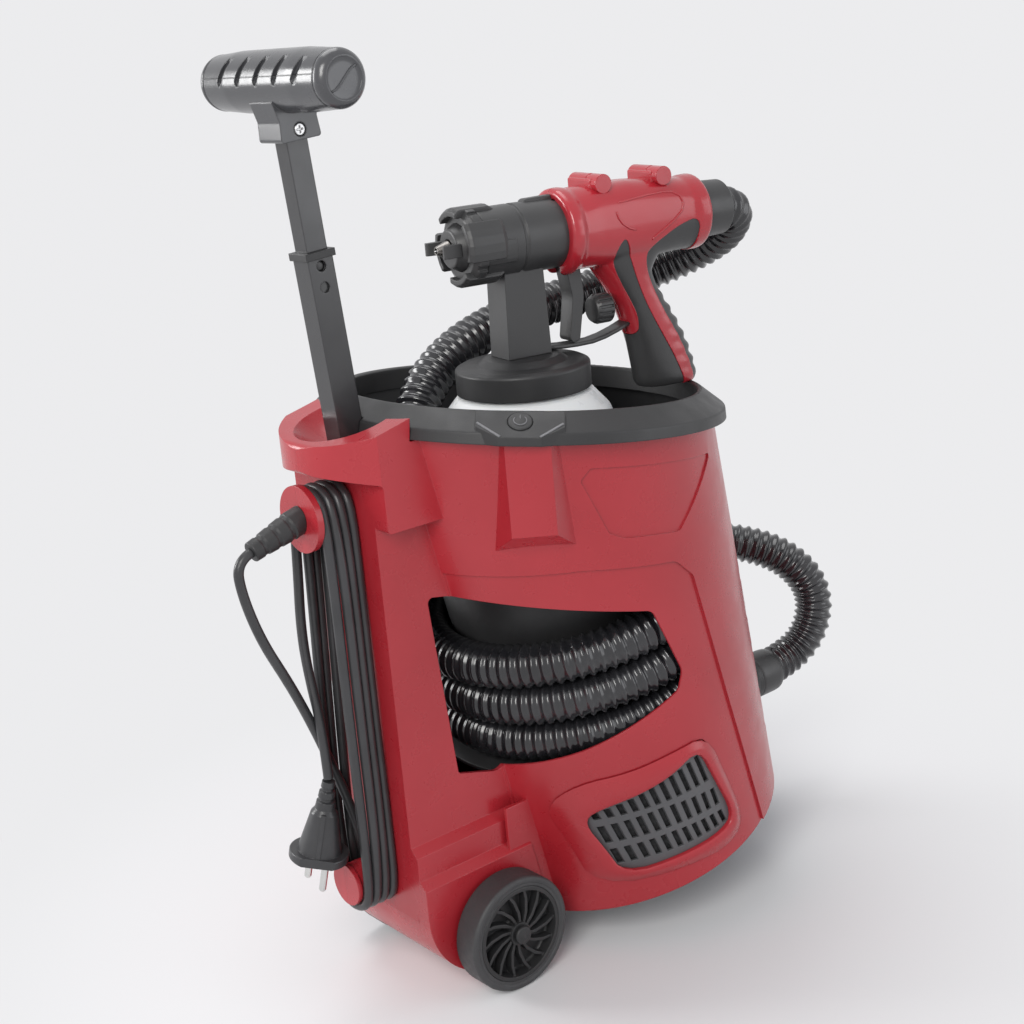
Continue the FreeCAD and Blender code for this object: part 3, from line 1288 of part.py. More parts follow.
gun_hollow = cut("GunHollow", cut("GunWithoutPad", gun_whole, grip_pad_form), trigger_slot,
                 needle_bore, spring_room, hose_bore, pivot_bore, knob_bore)
gun_space = box("GunSpace", 400.0, 200.0, 400.0, (-100.0, -100.0, 200.0))
gun_right = meet("GunRight", gun_hollow, box("GunRightSide", 400.0, 100.0, 400.0,
                                             (-100.0, -100.0, 200.0)))
gun_left = meet("GunLeft", gun_hollow, box("GunLeftSide", 400.0, 100.0, 400.0,
                                           (-100.0, 0.0, 200.0)))
piece("gun_body_right", seat(gun_right, GUN))
piece("gun_body_left", seat(gun_left, GUN))
piece("grip_pad", seat(meet("GripPad", grip_pad_form, gun_space), GUN))

barrel_form = turned("BarrelTurned", [
    (0.0, 0.0),
    (barrel_front - 1.5, 0.0),
    (barrel_front, 1.5),
    (barrel_front, 27.0),
    (barrel_front - 1.0, 28.0),
    (barrel_front - 1.0, 29.5),
    (barrel_front, 30.5),
    (barrel_front - 0.5, 59.6),
    (barrel_back, 59.6),
    (barrel_back, 84.0),
    (0.0, 84.0),
])
seat(barrel_form, ((-30.0, 0, barrel_z), ALONG_X, 90))
stem = slab("Stem", [
    (-stem_half, 412.5),
    (stem_half, 412.5),
    (stem_half - 2.0, barrel_z - 12.0),
    (2.0 - stem_half, barrel_z - 12.0),
], "xz", 4.0 - stem_half, stem_half * 2 - 8.0)
stem_bore = cylinder("StemBore", pickup_radius + 0.1, 60.0, (0, 0, 400.0))
barrel_slot = box("BarrelSlot", 32.0, trigger_width + 0.8, 56.0,
                  (28.0, -(trigger_width + 0.8) / 2, barrel_z - 34.0))
barrel_needle = cylinder("BarrelNeedle", needle_radius + 0.3, 120.0, (-60.0, 0, barrel_z), "x")
barrel_mouth = cylinder("BarrelMouth", 17.0, 12.0, (-31.0, 0, barrel_z), "x")
barrel_pivot = cylinder("BarrelPivot", 2.05, 60.0, (pivot_x, -30.0, pivot_z), "y")
barrel_form = cut("GunBarrelForm", fuse("GunBarrelSolid", barrel_form, stem), stem_bore,
                  barrel_slot, barrel_needle, barrel_mouth, barrel_pivot)
piece("gun_barrel", seat(barrel_form, GUN))

ring_body = doc.addObject("PartDesign::Body", "CapRing")
ring_sketch = body_sketch(ring_body, "CapRingProfile", "XZ_Plane", [
    (15.3, -9.0),
    (20.0, -9.0, 1.0),
    (25.0, -6.0, 1.5),
    (25.0, 0.0, 1.0),
    (17.3, 0.0),
    (17.3, -4.0),
    (15.3, -4.0),
])
ring_turn = ring_body.newObject("PartDesign::Revolution", "CapRingTurn")
ring_turn.Profile = ring_sketch
ring_turn.ReferenceAxis = (ring_sketch, ["V_Axis"])
ring_turn.Angle = 360.0
notch_sketch = body_sketch(ring_body, "CapRingNotch", "XY_Plane", [
    (23.4, -1.8),
    (27.0, -2.4),
    (27.0, 2.4),
    (23.4, 1.8),
])
notch = ring_body.newObject("PartDesign::Pocket", "CapRingNotchCut")
notch.Profile = notch_sketch
notch.Length = 12.0
notch.Reversed = False
ring_body.Tip = notch
doc.recompute()
notches = ring_body.newObject("PartDesign::PolarPattern", "CapRingNotches")
notches.Originals = [notch]
notches.Axis = (notch_sketch, ["N_Axis"])
notches.Angle = 360.0
notches.Occurrences = 12
ring_body.Tip = notches
seat(ring_body, *on_barrel(-30.1))
piece("cap_ring", ring_body)

cap_turned = turned("AirCapTurned", [
    (6.2, -16.0),
    (12.0, -16.0, 2.0),
    (15.1, -9.5, 1.0),
    (15.1, -3.9),
    (17.0, -3.9),
    (17.0, 1.0),
    (6.2, 1.0),
])
horns = []
for side in (-1, 1):
    horns.append(slab("CapHorn%d" % (side + 1), [
        (8.0 * side, -14.0),
        (14.5 * side, -14.0),
        (14.0 * side, -26.0, 1.5),
        (10.5 * side, -26.0, 1.5),
    ], "yz", -4.0, 8.0))
cap_form = fuse("AirCapForm", cap_turned, *horns)
seat(cap_form, *on_barrel(-30.1))
piece("air_cap", cap_form)
tip = turned("FluidTip", [
    (needle_radius + 0.2, -25.0),
    (2.6, -25.0),
    (5.6, -17.0),
    (5.8, 1.0),
    (16.0, 1.4),
    (16.0, 6.0),
    (needle_radius + 0.2, 6.0),
])
piece("fluid_nozzle", seat(tip, *on_barrel(-30.1)))
needle = turned("Needle", [
    (0.0, -56.5),
    (needle_radius, -52.0),
    (needle_radius, 49.0),
    (4.6, 49.0),
    (4.6, 53.0),
    (needle_radius, 53.0),
    (needle_radius, 84.0),
    (0.0, 84.0),
])
piece("needle", seat(needle, *on_barrel(0.0)))
trigger_form = slab("TriggerSide", [
    (32.5, pivot_z + 4.5, 3.0),
    (43.0, pivot_z + 4.5, 3.0),
    (43.5, 478.0, 20.0),
    (46.5, 445.0, 20.0),
    (41.0, 415.5, 3.0),
    (33.5, 415.5, 3.0),
    (38.0, 445.0, 20.0),
    (33.0, 472.0, 20.0),
], "xz", -trigger_width / 2, trigger_width)
needle_way = box("NeedleWay", 40.0, 5.0, 7.0, (20.0, -2.5, barrel_z - 3.2))
trigger_pivot = cylinder("TriggerPivot", 2.1, 40.0, (pivot_x, -20.0, pivot_z), "y")
piece("trigger", seat(cut("Trigger", trigger_form, needle_way, trigger_pivot), GUN))
piece("trigger_pin", seat(cylinder("TriggerPin", 2.0, 26.0), GUN,
                          ((pivot_x, -13.0, pivot_z), (1, 0, 0), -90)))

knob_body = doc.addObject("PartDesign::Body", "FlowKnob")
knob_sketch = body_sketch(knob_body, "FlowKnobProfile", "XZ_Plane", [
    (0.0, 0.0),
    (knob_radius - 2.0, 0.0, 1.0),
    (knob_radius, 3.0),
    (knob_radius, 13.0, 1.0),
    (3.0, 13.0),
    (3.0, 17.5),
    (0.0, 17.5),
])
knob_turn = knob_body.newObject("PartDesign::Revolution", "FlowKnobTurn")
knob_turn.Profile = knob_sketch
knob_turn.ReferenceAxis = (knob_sketch, ["V_Axis"])
knob_turn.Angle = 360.0
flute_sketch = body_sketch(knob_body, "FlowKnobFlute", "XY_Plane", [
    (knob_radius - 1.2, -0.8),
    (knob_radius + 2.0, -1.4),
    (knob_radius + 2.0, 1.4),
    (knob_radius - 1.2, 0.8),
])
flute = knob_body.newObject("PartDesign::Pocket", "FlowKnobFluteCut")
flute.Profile = flute_sketch
flute.Length = 12.0
flute.Reversed = True
knob_body.Tip = flute
doc.recompute()
flutes = knob_body.newObject("PartDesign::PolarPattern", "FlowKnobFlutes")
flutes.Originals = [flute]
flutes.Axis = (flute_sketch, ["N_Axis"])
flutes.Angle = 360.0
flutes.Occurrences = 14
knob_body.Tip = flutes
seat(knob_body, GUN, ((knob_x, 0, knob_z), ALONG_X, 90))
piece("flow_knob", knob_body)

connector = turned("HoseConnector", [
    (9.0, 120.0),
    (12.1, 120.0),
    (12.1, 141.2),
    (connector_radius, 141.2, 1.0),
    (connector_radius - 1.0, 163.0, 1.0),
    (hose_diameter / 2 + 0.2, 163.0),
    (hose_diameter / 2 + 0.2, 149.5),
    (9.0, 149.5),
])
piece("hose_connector", seat(connector, *on_barrel(0.0)))

lid = turned("CupLid", [
    (pickup_radius + 0.2, neck_top + 2.0),
    (cup_neck + 0.3, neck_top + 2.0),
    (cup_neck + 0.3, neck_top - 13.0),
    (lid_radius, neck_top - 13.0),
    (lid_radius, neck_top + 2.6, 2.0),
    (lid_radius - 4.0, neck_top + 4.6, 2.0),
    (30.0, neck_top + 4.9),
    (25.0, neck_top + 8.5),
    (22.0, neck_top + 9.0),
    (pickup_radius + 0.2, neck_top + 9.0),
])
seat(lid, GUN)
piece("cup_lid", lid)
piece("lid_gasket", seat(turned("LidGasket", [
    (cup_neck - 3.0, neck_top + 0.1),
    (cup_neck, neck_top + 0.1),
    (cup_neck, neck_top + 1.9),
    (cup_neck - 3.0, neck_top + 1.9),
]), GUN))
piece("cup", seat(turned("Cup", [
    (0.0, cup_low),
    (cup_radius - 8.0, cup_low, 3.0),
    (cup_radius, cup_low + 8.0, 4.0),
    (cup_radius, cup_low + 82.0, 10.0),
    (cup_neck + 4.0, cup_low + 96.0, 3.0),
    (cup_neck, cup_low + 98.0),
    (cup_neck, neck_top),
    (cup_neck - cup_wall, neck_top),
    (cup_neck - cup_wall, cup_low + 96.5),
    (cup_neck + 3.0, cup_low + 94.0, 1.0),
    (cup_radius - cup_wall, cup_low + 81.0, 8.0),
    (cup_radius - cup_wall, cup_low + 9.0, 3.0),
    (cup_radius - 9.0, cup_low + cup_wall, 2.0),
    (0.0, cup_low + cup_wall),
]), GUN))
pickup = cut("PickupForm", cylinder("PickupOut", pickup_radius, 130.0, (0, 0, cup_low + 7.0)),
             cylinder("PickupIn", pickup_radius - 1.0, 140.0, (0, 0, cup_low + 2.0)))
piece("pickup_tube", seat(pickup, GUN))


# Hoses and cords: straight runs joined by arcs that touch both runs

def tube_along(name, diameter, points):
    """A round solid along a route; each corner is an arc that takes 0.45 of its shorter run."""
    spots = [Vector(*[float(value) for value in point]) for point in points]
    edges = []
    start = spots[0]
    for i in range(1, len(spots) - 1):
        back = spots[i - 1] - spots[i]
        ahead = spots[i + 1] - spots[i]
        reach_in = 0.45 * min(back.Length, ahead.Length)
        half = back.getAngle(ahead) / 2
        bend = reach_in * math.tan(half)
        print("%s corner %d: arc radius %.1f" % (name, i, bend))
        first = spots[i] + back.normalize() * reach_in
        last = spots[i] + ahead.normalize() * reach_in
        middle = spots[i] + (back + ahead).normalize() * (bend / math.sin(half) - bend)
        edges.append(Part.LineSegment(start, first).toShape())
        edges.append(Part.Arc(first, middle, last).toShape())
        start = last
    edges.append(Part.LineSegment(start, spots[-1]).toShape())
    route = Part.Wire(edges)
    circle = Part.Circle(spots[0], spots[1] - spots[0], float(diameter) / 2)
    outline = Part.Wire([circle.toShape()])
    solid = route.makePipeShell([outline], True, False)
    expected = math.pi * float(diameter) ** 2 / 4 * route.Length
    print("%s: length %.1f, volume %.4f of section times length"
          % (name, route.Length, solid.Volume / expected))
    thing = doc.addObject("Part::Feature", name)
    thing.Shape = solid
    return thing


def in_gun(x, y, z):
    """A point of the gun's own frame in the frame of the whole machine."""
    turn = math.radians(float(gun_yaw))
    return (float(gun_x) + x * math.cos(turn) - y * math.sin(turn),
            float(gun_y) + x * math.sin(turn) + y * math.cos(turn), z)


gun_hose_route = [
    in_gun(149.8, 0.0, barrel_z),
    in_gun(176.0, 0.0, barrel_z),
    (160.0, -34.0, 468.0),
    (155.0, -6.0, 452.0),
    (132.0, 18.0, 440.0),
    (96.0, 34.0, 432.0),
    (52.0, 42.0, 427.0),
    (5.0, 45.0, 421.0),
    (-40.0, 43.0, 407.0),
    (-74.0, 34.0, 384.0),
    (-92.0, 23.0, 350.0),
    (hose_hole_x, hose_hole_y + 0.5, 318.0),
    (hose_hole_x - 0.5, hose_hole_y - 0.5, 287.0),
    (hose_hole_x + 1.0, hose_hole_y - 2.0, 258.0),
]
piece("gun_hose", tube_along("GunHose", hose_diameter, gun_hose_route))

front_hose_route = [
    (186.0, 0.0, port_z),
    (232.0, 0.0, port_z),
    (260.0, -9.0, 127.0),
    (269.0, -8.0, 163.0),
    (250.0, 8.0, 194.0),
    (216.0, 38.0, 210.0),
    (184.0, 80.0, 207.0),
    (147.0, 116.0, 207.0),
    (98.0, 138.0, 208.0),
    (44.0, 137.0, 201.0),
    (-3.0, 119.0, 187.0),
    (-36.0, 86.0, 168.0),
]
front_tube = tube_along("FrontHoseTube", hose_diameter, front_hose_route)
piece("front_hose", cut("FrontHose", front_tube,
                        skin("FrontHoseTrim", coil_inset - 0.3, -0.2, 1.2)))
cuff = turned("HoseCuff", [
    (12.0, -16.0),
    (duct_bore - 0.3, -16.0),
    (duct_bore - 0.3, 0.2),
    (port_radius + 2.5, 0.2, 1.0),
    (port_radius + 2.5, 10.0, 1.0),
    (hose_diameter / 2 + 2.5, 14.0),
    (hose_diameter / 2 + 2.5, 19.1),
    (hose_diameter / 2 + 0.2, 19.1),
    (hose_diameter / 2 + 0.2, 9.8),
    (12.0, 9.8),
], at=(port_front, 0, port_z), axis=(0, 1, 0), angle=90)
piece("hose_cuff", cuff)

strand_low = drum_radius + 0.2
strand_span = strand_count * cord_diameter
winding_form = slab("WindingOut", [
    (-strand_low - cord_diameter, hook_z - strand_low - cord_diameter,
     strand_low + cord_diameter - 0.1),
    (strand_low + cord_diameter, hook_z - strand_low - cord_diameter,
     strand_low + cord_diameter - 0.1),
    (strand_low + cord_diameter, spool_z + strand_low + cord_diameter,
     strand_low + cord_diameter - 0.1),
    (-strand_low - cord_diameter, spool_z + strand_low + cord_diameter,
     strand_low + cord_diameter - 0.1),
], "yz", -spine_rear - fit_gap - strand_span, strand_span)
winding_hole = slab("WindingIn", [
    (-strand_low, hook_z - strand_low, strand_low - 0.1),
    (strand_low, hook_z - strand_low, strand_low - 0.1),
    (strand_low, spool_z + strand_low, strand_low - 0.1),
    (-strand_low, spool_z + strand_low, strand_low - 0.1),
], "yz", -spine_rear - fit_gap - strand_span - 1.0, strand_span + 2.0)
piece("cord_winding", cut("CordWinding", winding_form, winding_hole))

boot_x = -spine_rear - drum_reach - lip_thickness
boot_turned = turned("BootTurned", [
    (0.0, -3.0),
    (8.6, -3.0),
    (9.0, 8.0),
    (8.2, 9.0),
    (8.2, 11.0),
    (8.6, 12.0),
    (8.1, 18.0),
    (7.4, 19.0),
    (7.4, 21.0),
    (7.8, 22.0),
    (7.2, 28.0),
    (6.4, 29.0),
    (6.4, 31.0),
    (6.9, 32.0),
    (6.6, boot_length, 1.0),
    (0.0, boot_length),
])
seat(boot_turned, ((boot_x, 0, spool_z), ALONG_X, -90.0 - boot_drop))
boot_trim = box("BootTrim", 40.0, 40.0, 40.0, (boot_x - 0.1, -20.0, spool_z - 20.0))
boot_plug = cylinder("BootPlug", 4.8, 24.0, (boot_x - 4.0, 0, spool_z), "x")
piece("strain_relief", fuse("StrainRelief", cut("BootCut", boot_turned, boot_trim), boot_plug))

boot_away = float(boot_length) + 0.1
boot_turn = math.radians(float(boot_drop))
boot_tip_x = float(boot_x) - boot_away * math.cos(boot_turn)
boot_tip_z = float(spool_z) - boot_away * math.sin(boot_turn)
mains_route = [
    (boot_tip_x, 0.0, boot_tip_z),
    (boot_tip_x - 11.5 * math.cos(boot_turn), 0.0, boot_tip_z - 11.5 * math.sin(boot_turn)),
    (-241.0, 0.0, 302.0),
    (-232.0, 0.0, 270.0),
    (-215.0, 3.0, 236.0),
    (-200.0, 8.0, 203.0),
    (-188.0, 8.5, 168.0),
    (-179.0, 5.0, 134.0),
    (-172.0, 9.5, 106.0),
]
free_cord = tube_along("MainsCord", cord_diameter, mains_route)

PLUG = [((plug_x, plug_y, plug_z), (0, 0, 1), plug_spin), ((0, 0, 0), (0, 1, 0), 180.0 + plug_lean)]
plug_route = [
    (-194.2, 16.0, 262.0),
    (-196.0, 10.0, 232.0),
    (-197.0, 0.5, 201.0),
    (-199.0, plug_y, plug_z + 1.0),
]
plug_cord = tube_along("PlugCord", cord_diameter, plug_route)
piece("mains_cord", fuse("MainsCordSet", free_cord, plug_cord))
plug_turned = turned("PlugTurned", [
    (0.0, 0.0),
    (4.2, 0.0),
    (4.6, 4.0),
    (3.8, 4.6),
    (3.8, 6.2),
    (5.2, 7.0),
    (5.6, 11.0),
    (4.6, 11.6),
    (4.6, 13.2),
    (6.2, 14.0),
    (6.8, 19.0),
    (9.0, 22.0, 2.0),
    (13.5, 44.0, 4.0),
    (14.5, 49.0),
    (19.5, 49.0, 1.0),
    (19.5, 55.0, 1.0),
    (0.0, 55.0),
])
plug_rib = slab("PlugRib", [
    (-1.5, 20.0),
    (1.5, 20.0),
    (1.5, 49.5),
    (-1.5, 49.5),
], "xz", -15.2, 30.4)
plug_flat = middle_box("PlugFlat", 60.0, 32.0, 80.0, (0, 0, -5.0))
plug_form = meet("PlugForm", fuse("PlugSolid", plug_turned,
                                  meet("PlugRibPart", plug_rib,
                                       cone("PlugRibCone", 9.8, 16.0, 29.0, (0, 0, 20.5)))),
                 plug_flat)
piece("plug_body", seat(plug_form, *PLUG))
pins = []
for side in (-1, 1):
    rod = cylinder("PlugPin%d" % (side + 1), 2.4, 17.5, (9.5 * side, 0, 55.05))
    pins.append(fuse("PlugPinSet%d" % (side + 1), rod,
                     ball("PlugPinEnd%d" % (side + 1), 2.4, (9.5 * side, 0, 72.5))))
piece("plug_pins", seat(fuse("PlugPins", *pins), *PLUG, ((0, 0, 0), (0, 0, 1), pin_spin)))


# Checks and files

doc.recompute()
faults = []
for thing in doc.Objects:
    for word in ("Invalid", "Error"):
        if word in thing.State:
            faults.append("%s is %s" % (thing.Name, word))
for thing in pieces:
    if thing.Shape.isNull() or not thing.Shape.isValid() or not thing.Shape.Solids:
        faults.append("%s has no valid solid" % thing.Label)
if faults:
    raise RuntimeError("; ".join(faults))

os.makedirs("parts", exist_ok=True)
for thing in pieces:
    thing.Shape.exportStep("parts/%s.step" % thing.Label)
    print("%-18s %d solids, %.0f mm3" % (thing.Label, len(thing.Shape.Solids),
                                         thing.Shape.Volume))
print(len(pieces), "pieces")
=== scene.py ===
# %% [markdown]
# # A trolley paint sprayer, stowed
# The real machine is a red moulded tub on two wheels. An air turbine sits in its foot, three turns
# of ribbed hose lie in a store above it, and a spray gun with a paint cup stands in a tray on top.
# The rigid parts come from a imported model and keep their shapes. What is made here is what such a
# model can't hold well: the ribs of the hose, the lie of the lead, and every finish.

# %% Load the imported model
from math import cos, pi, radians, sin, sqrt, tan

import bpy
from mathutils import Matrix, Vector


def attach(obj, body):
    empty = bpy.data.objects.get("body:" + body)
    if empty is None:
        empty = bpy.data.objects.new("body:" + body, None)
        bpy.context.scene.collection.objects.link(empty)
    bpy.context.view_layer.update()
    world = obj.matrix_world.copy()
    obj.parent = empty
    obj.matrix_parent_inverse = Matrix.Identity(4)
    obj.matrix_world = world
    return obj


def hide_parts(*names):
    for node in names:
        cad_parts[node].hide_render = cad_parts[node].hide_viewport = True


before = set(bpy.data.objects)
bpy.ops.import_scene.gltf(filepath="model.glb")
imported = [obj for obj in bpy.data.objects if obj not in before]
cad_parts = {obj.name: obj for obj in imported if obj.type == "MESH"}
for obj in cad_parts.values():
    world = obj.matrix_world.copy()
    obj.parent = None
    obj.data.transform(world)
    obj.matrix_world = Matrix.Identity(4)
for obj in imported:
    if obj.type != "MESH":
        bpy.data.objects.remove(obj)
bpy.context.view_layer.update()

# %% [markdown]
# ## The camera
# A lens is judged by how fast the object shrinks with distance. The near wheel and the far end of
# the handle fix both the distance and the lens here, about 1.3 m and 60 mm. The photograph was
# taken with the camera rolled by 5 degrees, so the machine seems to lean. A rotation written as
# three columns, right, up and back, holds the roll without a second object.

# %% Place the camera
camera_spot = Vector((-0.71497, -0.86737, 0.62971))
camera_turn = radians(-38.38)
camera_pitch = radians(16.53)
camera_roll = radians(-5.0)
back = Vector((sin(camera_turn) * cos(camera_pitch), -cos(camera_turn) * cos(camera_pitch),
               sin(camera_pitch)))
level_right = Vector((cos(camera_turn), sin(camera_turn), 0.0))
level_up = back.cross(level_right)
right = level_right * cos(camera_roll) + level_up * sin(camera_roll)
up = level_up * cos(camera_roll) - level_right * sin(camera_roll)
lens = bpy.data.cameras.new("PhotoLens")
lens.sensor_width = 36.0
lens.lens = 59.65
lens.clip_start = 0.05
lens.clip_end = 60.0
camera = bpy.data.objects.new("PhotoCamera", lens)
bpy.context.scene.collection.objects.link(camera)
turned = Matrix((right, up, back)).transposed().to_4x4()
camera.matrix_world = Matrix.Translation(camera_spot) @ turned
bpy.context.scene.camera = camera
print("camera", round((camera_spot - Vector((0, 0, 0.25))).length, 3), "m from the tub")

# %% [markdown]
# ## The line of a hose or a lead
# Something flexible never turns a corner, so its line is a NURBS curve whose control points are
# the corners of a rough route. The order is 3, which keeps the curve close to the route. It has to
# be set after the points are added, because a spline with too few points lowers it.

# %% Draw a flexible line, read it back, and walk along it evenly
def flexible_line(name, spots):
    curve = bpy.data.curves.new(name, "CURVE")
    curve.dimensions = "3D"
    curve.resolution_u = 20
    spline = curve.splines.new("NURBS")
    spline.points.add(len(spots) - 1)
    for point, spot in zip(spline.points, spots):
        point.co = (spot[0], spot[1], spot[2], 1.0)
    spline.order_u = 3
    spline.use_endpoint_u = True
    line = bpy.data.objects.new(name, curve)
    bpy.context.scene.collection.objects.link(line)
    return line


def read_line(line):
    bpy.context.view_layer.update()
    seen = line.evaluated_get(bpy.context.evaluated_depsgraph_get())
    mesh = bpy.data.meshes.new_from_object(seen)
    spots = [vertex.co.copy() for vertex in mesh.vertices]
    bpy.data.meshes.remove(mesh)
    return spots


def length_of(spots):
    return sum((b - a).length for a, b in zip(spots, spots[1:]))


def walk(spots, step):
    """Points a step apart along the line, its two ends among them."""
    count = max(2, round(length_of(spots) / step))
    stride = length_of(spots) / count
    walked, target, passed = [spots[0].copy()], stride, 0.0
    for a, b in zip(spots, spots[1:]):
        leg = (b - a).length
        while leg > 0 and passed + leg >= target - 1e-9 and len(walked) < count:
            walked.append(a.lerp(b, (target - passed) / leg))
            target += stride
        passed += leg
    walked.append(spots[-1].copy())
    return walked


# %% [markdown]
# ## The air hose
# One blow-moulded hose runs from the gun, down through the tray, round the store three times and
# out to the blower's outlet. Its wall is folded into ribs about 7 mm apart. Ribs could be painted
# on as bumps, but then the outline would be smooth, and the outline is what the eye reads. So the
# hose is a mesh of rings whose radius rises and falls along the line.

# %% The hose on the outside, from the gun back to the tub's rim
gun_end = [
    (0.12152, -0.04801, 0.4875), (0.14733, -0.05256, 0.4875), (0.160, -0.034, 0.468),
    (0.155, -0.006, 0.452), (0.132, 0.018, 0.440), (0.096, 0.034, 0.432), (0.052, 0.042, 0.427),
    (0.005, 0.045, 0.421), (-0.040, 0.043, 0.407), (-0.074, 0.034, 0.384),
    (-0.092, 0.023, 0.350), (-0.0995, 0.018, 0.318), (-0.099, 0.022, 0.285),
]
outlet_end = [
    (-0.003, 0.119, 0.185), (0.044, 0.137, 0.200), (0.098, 0.138, 0.208),
    (0.147, 0.116, 0.207), (0.184, 0.080, 0.207), (0.216, 0.038, 0.210), (0.250, 0.008, 0.194),
    (0.269, -0.008, 0.163), (0.260, -0.009, 0.127), (0.232, 0.000, 0.107), (0.186, 0.000, 0.107),
]

# %% [markdown]
# The store is a ring between the tub's skin and an inner drum, and its floor is tilted like the
# tub's foot. A point in it is easiest to give as a turn, a height over the floor and a distance
# from the skin. The turns lie flat where the window shows them and climb where the wall hides them.

# %% Find a point in the hose store
foot_tilt = radians(15.0)
foot_x, foot_z, rim_z = 0.050, 0.052, 0.372
foot_radius, rim_radius, rim_shift = 0.117, 0.126, -0.063
store_floor = 0.120
hose_radius = 0.015


def in_store(turn, lift, inset=0.0194, stretch=1.0):
    x, z = 0.0, 0.2
    for _ in range(8):
        share = (z - foot_z) / (rim_z - foot_z)
        middle = foot_x + rim_shift * share
        radius = (foot_radius + (rim_radius - foot_radius) * share - inset) * stretch
        x = middle + radius * cos(radians(turn))
        z = foot_z + tan(foot_tilt) * (x - foot_x) + store_floor + lift
    return (x, radius * sin(radians(turn)), z)


# %% Wind three turns, each climbing one hose width on the hidden side
climbs = [(122, 0.0155), (300, 0.0155), (450, 0.0455), (660, 0.0455), (810, 0.0755),
          (1020, 0.0755), (1160, 0.1050), (1200, 0.1060)]


def climb_at(turn):
    for (t0, l0), (t1, l1) in zip(climbs, climbs[1:]):
        if turn <= t1:
            share = max(0.0, (turn - t0) / (t1 - t0))
            return l0 + (l1 - l0) * (3 - 2 * share) * share * share
    return climbs[-1][1]


corner_stretch = 1 / cos(radians(15))
store_turns = [in_store(turn, climb_at(turn), stretch=corner_stretch)
               for turn in range(1187, 121, -30)]
hose_route = gun_end + [(-0.086, 0.050, 0.252)] + store_turns + outlet_end
hose_line = flexible_line("hose_line", hose_route)
hose_spots = read_line(hose_line)
print("air hose", round(length_of(hose_spots), 3), "m,", len(store_turns), "points in the store")


# %% [markdown]
# Each ring has to stand square to the line without twisting from one to the next. Carrying the
# last ring's side vector forward and taking out what now lies along the line does that. A rib is
# narrow at its crest and wide in its valley, so the wave is raised to a power. The two ends are
# closed with one many-sided face each.

# %% Skin a line with ribs
def ribbed_tube(name, spots, crest, valley, pitch, sides=26, rings_per_rib=7, sharp=1.5):
    rings = walk(spots, pitch / rings_per_rib)
    points, faces = [], []
    side = (rings[1] - rings[0]).orthogonal().normalized()
    for number, spot in enumerate(rings):
        ahead = rings[min(number + 1, len(rings) - 1)] - rings[max(number - 1, 0)]
        ahead.normalize()
        side = (side - ahead * side.dot(ahead)).normalized()
        other = ahead.cross(side)
        wave = (0.5 + 0.5 * cos(2 * pi * number / rings_per_rib)) ** sharp
        radius = valley + (crest - valley) * wave
        for corner in range(sides):
            angle = 2 * pi * corner / sides
            points.append(spot + (side * cos(angle) + other * sin(angle)) * radius)
    for number in range(len(rings) - 1):
        for corner in range(sides):
            here, ahead_of = number * sides, (corner + 1) % sides
            faces.append((here + corner, here + ahead_of, here + sides + ahead_of,
                          here + sides + corner))
    last = (len(rings) - 1) * sides
    faces.append(tuple(reversed(range(sides))))
    faces.append(tuple(last + corner for corner in range(sides)))
    mesh = bpy.data.meshes.new(name)
    mesh.from_pydata([tuple(point) for point in points], [], faces)
    mesh.polygons.foreach_set("use_smooth", [True] * len(mesh.polygons))
    tube = bpy.data.objects.new(name, mesh)
    bpy.context.scene.collection.objects.link(tube)
    return tube, rings


valley_radius, rib_pitch = 0.0128, 0.0068
hose, hose_path = ribbed_tube("air_hose", hose_spots, hose_radius, valley_radius, rib_pitch)
bpy.data.objects.remove(hose_line)
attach(hose, "machine")
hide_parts("gun_hose", "hose_coil", "front_hose")
print("hose mesh", len(hose.data.polygons), "faces")

# %% [markdown]
# ## The mains lead
# The lead leaves the spool through a tapered boot, drops to the lower hook, winds four times round
# hook and spool, and ends in a plug that hangs from the last turn. It is one round cord, so a
# curve with a bevel is enough, and the whole path is one spline. On a drum the control points are
# the corners of a polygon drawn round the strand's circle, which the curve then touches. Blender
# counts the radius of the points in the curve's box. So that radius is the cord's own, and the
# bevel only multiplies it by one.

# %% From the boot down to the lower hook
cord_radius = 0.00325
boot_end = [
    (-0.23142, 0.0, 0.32748), (-0.24238, 0.0, 0.3240), (-0.241, 0.0, 0.302),
    (-0.232, 0.0, 0.270), (-0.215, 0.003, 0.236), (-0.200, 0.008, 0.203),
    (-0.188, 0.0085, 0.168), (-0.179, 0.005, 0.134), (-0.172, 0.0095, 0.106),
]

# %% Four turns round the hook and the spool, loosest where nothing holds them
hook_z, spool_z = 0.087, 0.339
strand_circle = 0.0171
slot_x = [-0.1678, -0.1744, -0.1811, -0.1876]
near_bow = [0.0004, 0.0024, 0.0042, 0.0016]
far_bow = [0.0012, 0.0030, 0.0008, 0.0]


def round_drum(x, z, upward):
    reach = strand_circle / cos(radians(22.5))
    spots = []
    for turn in (22.5, 67.5, 112.5, 157.5):
        y, rise = reach * cos(radians(turn)), reach * sin(radians(turn))
        spots.append((x, -y, z + rise) if upward else (x, y, z - rise))
    return spots


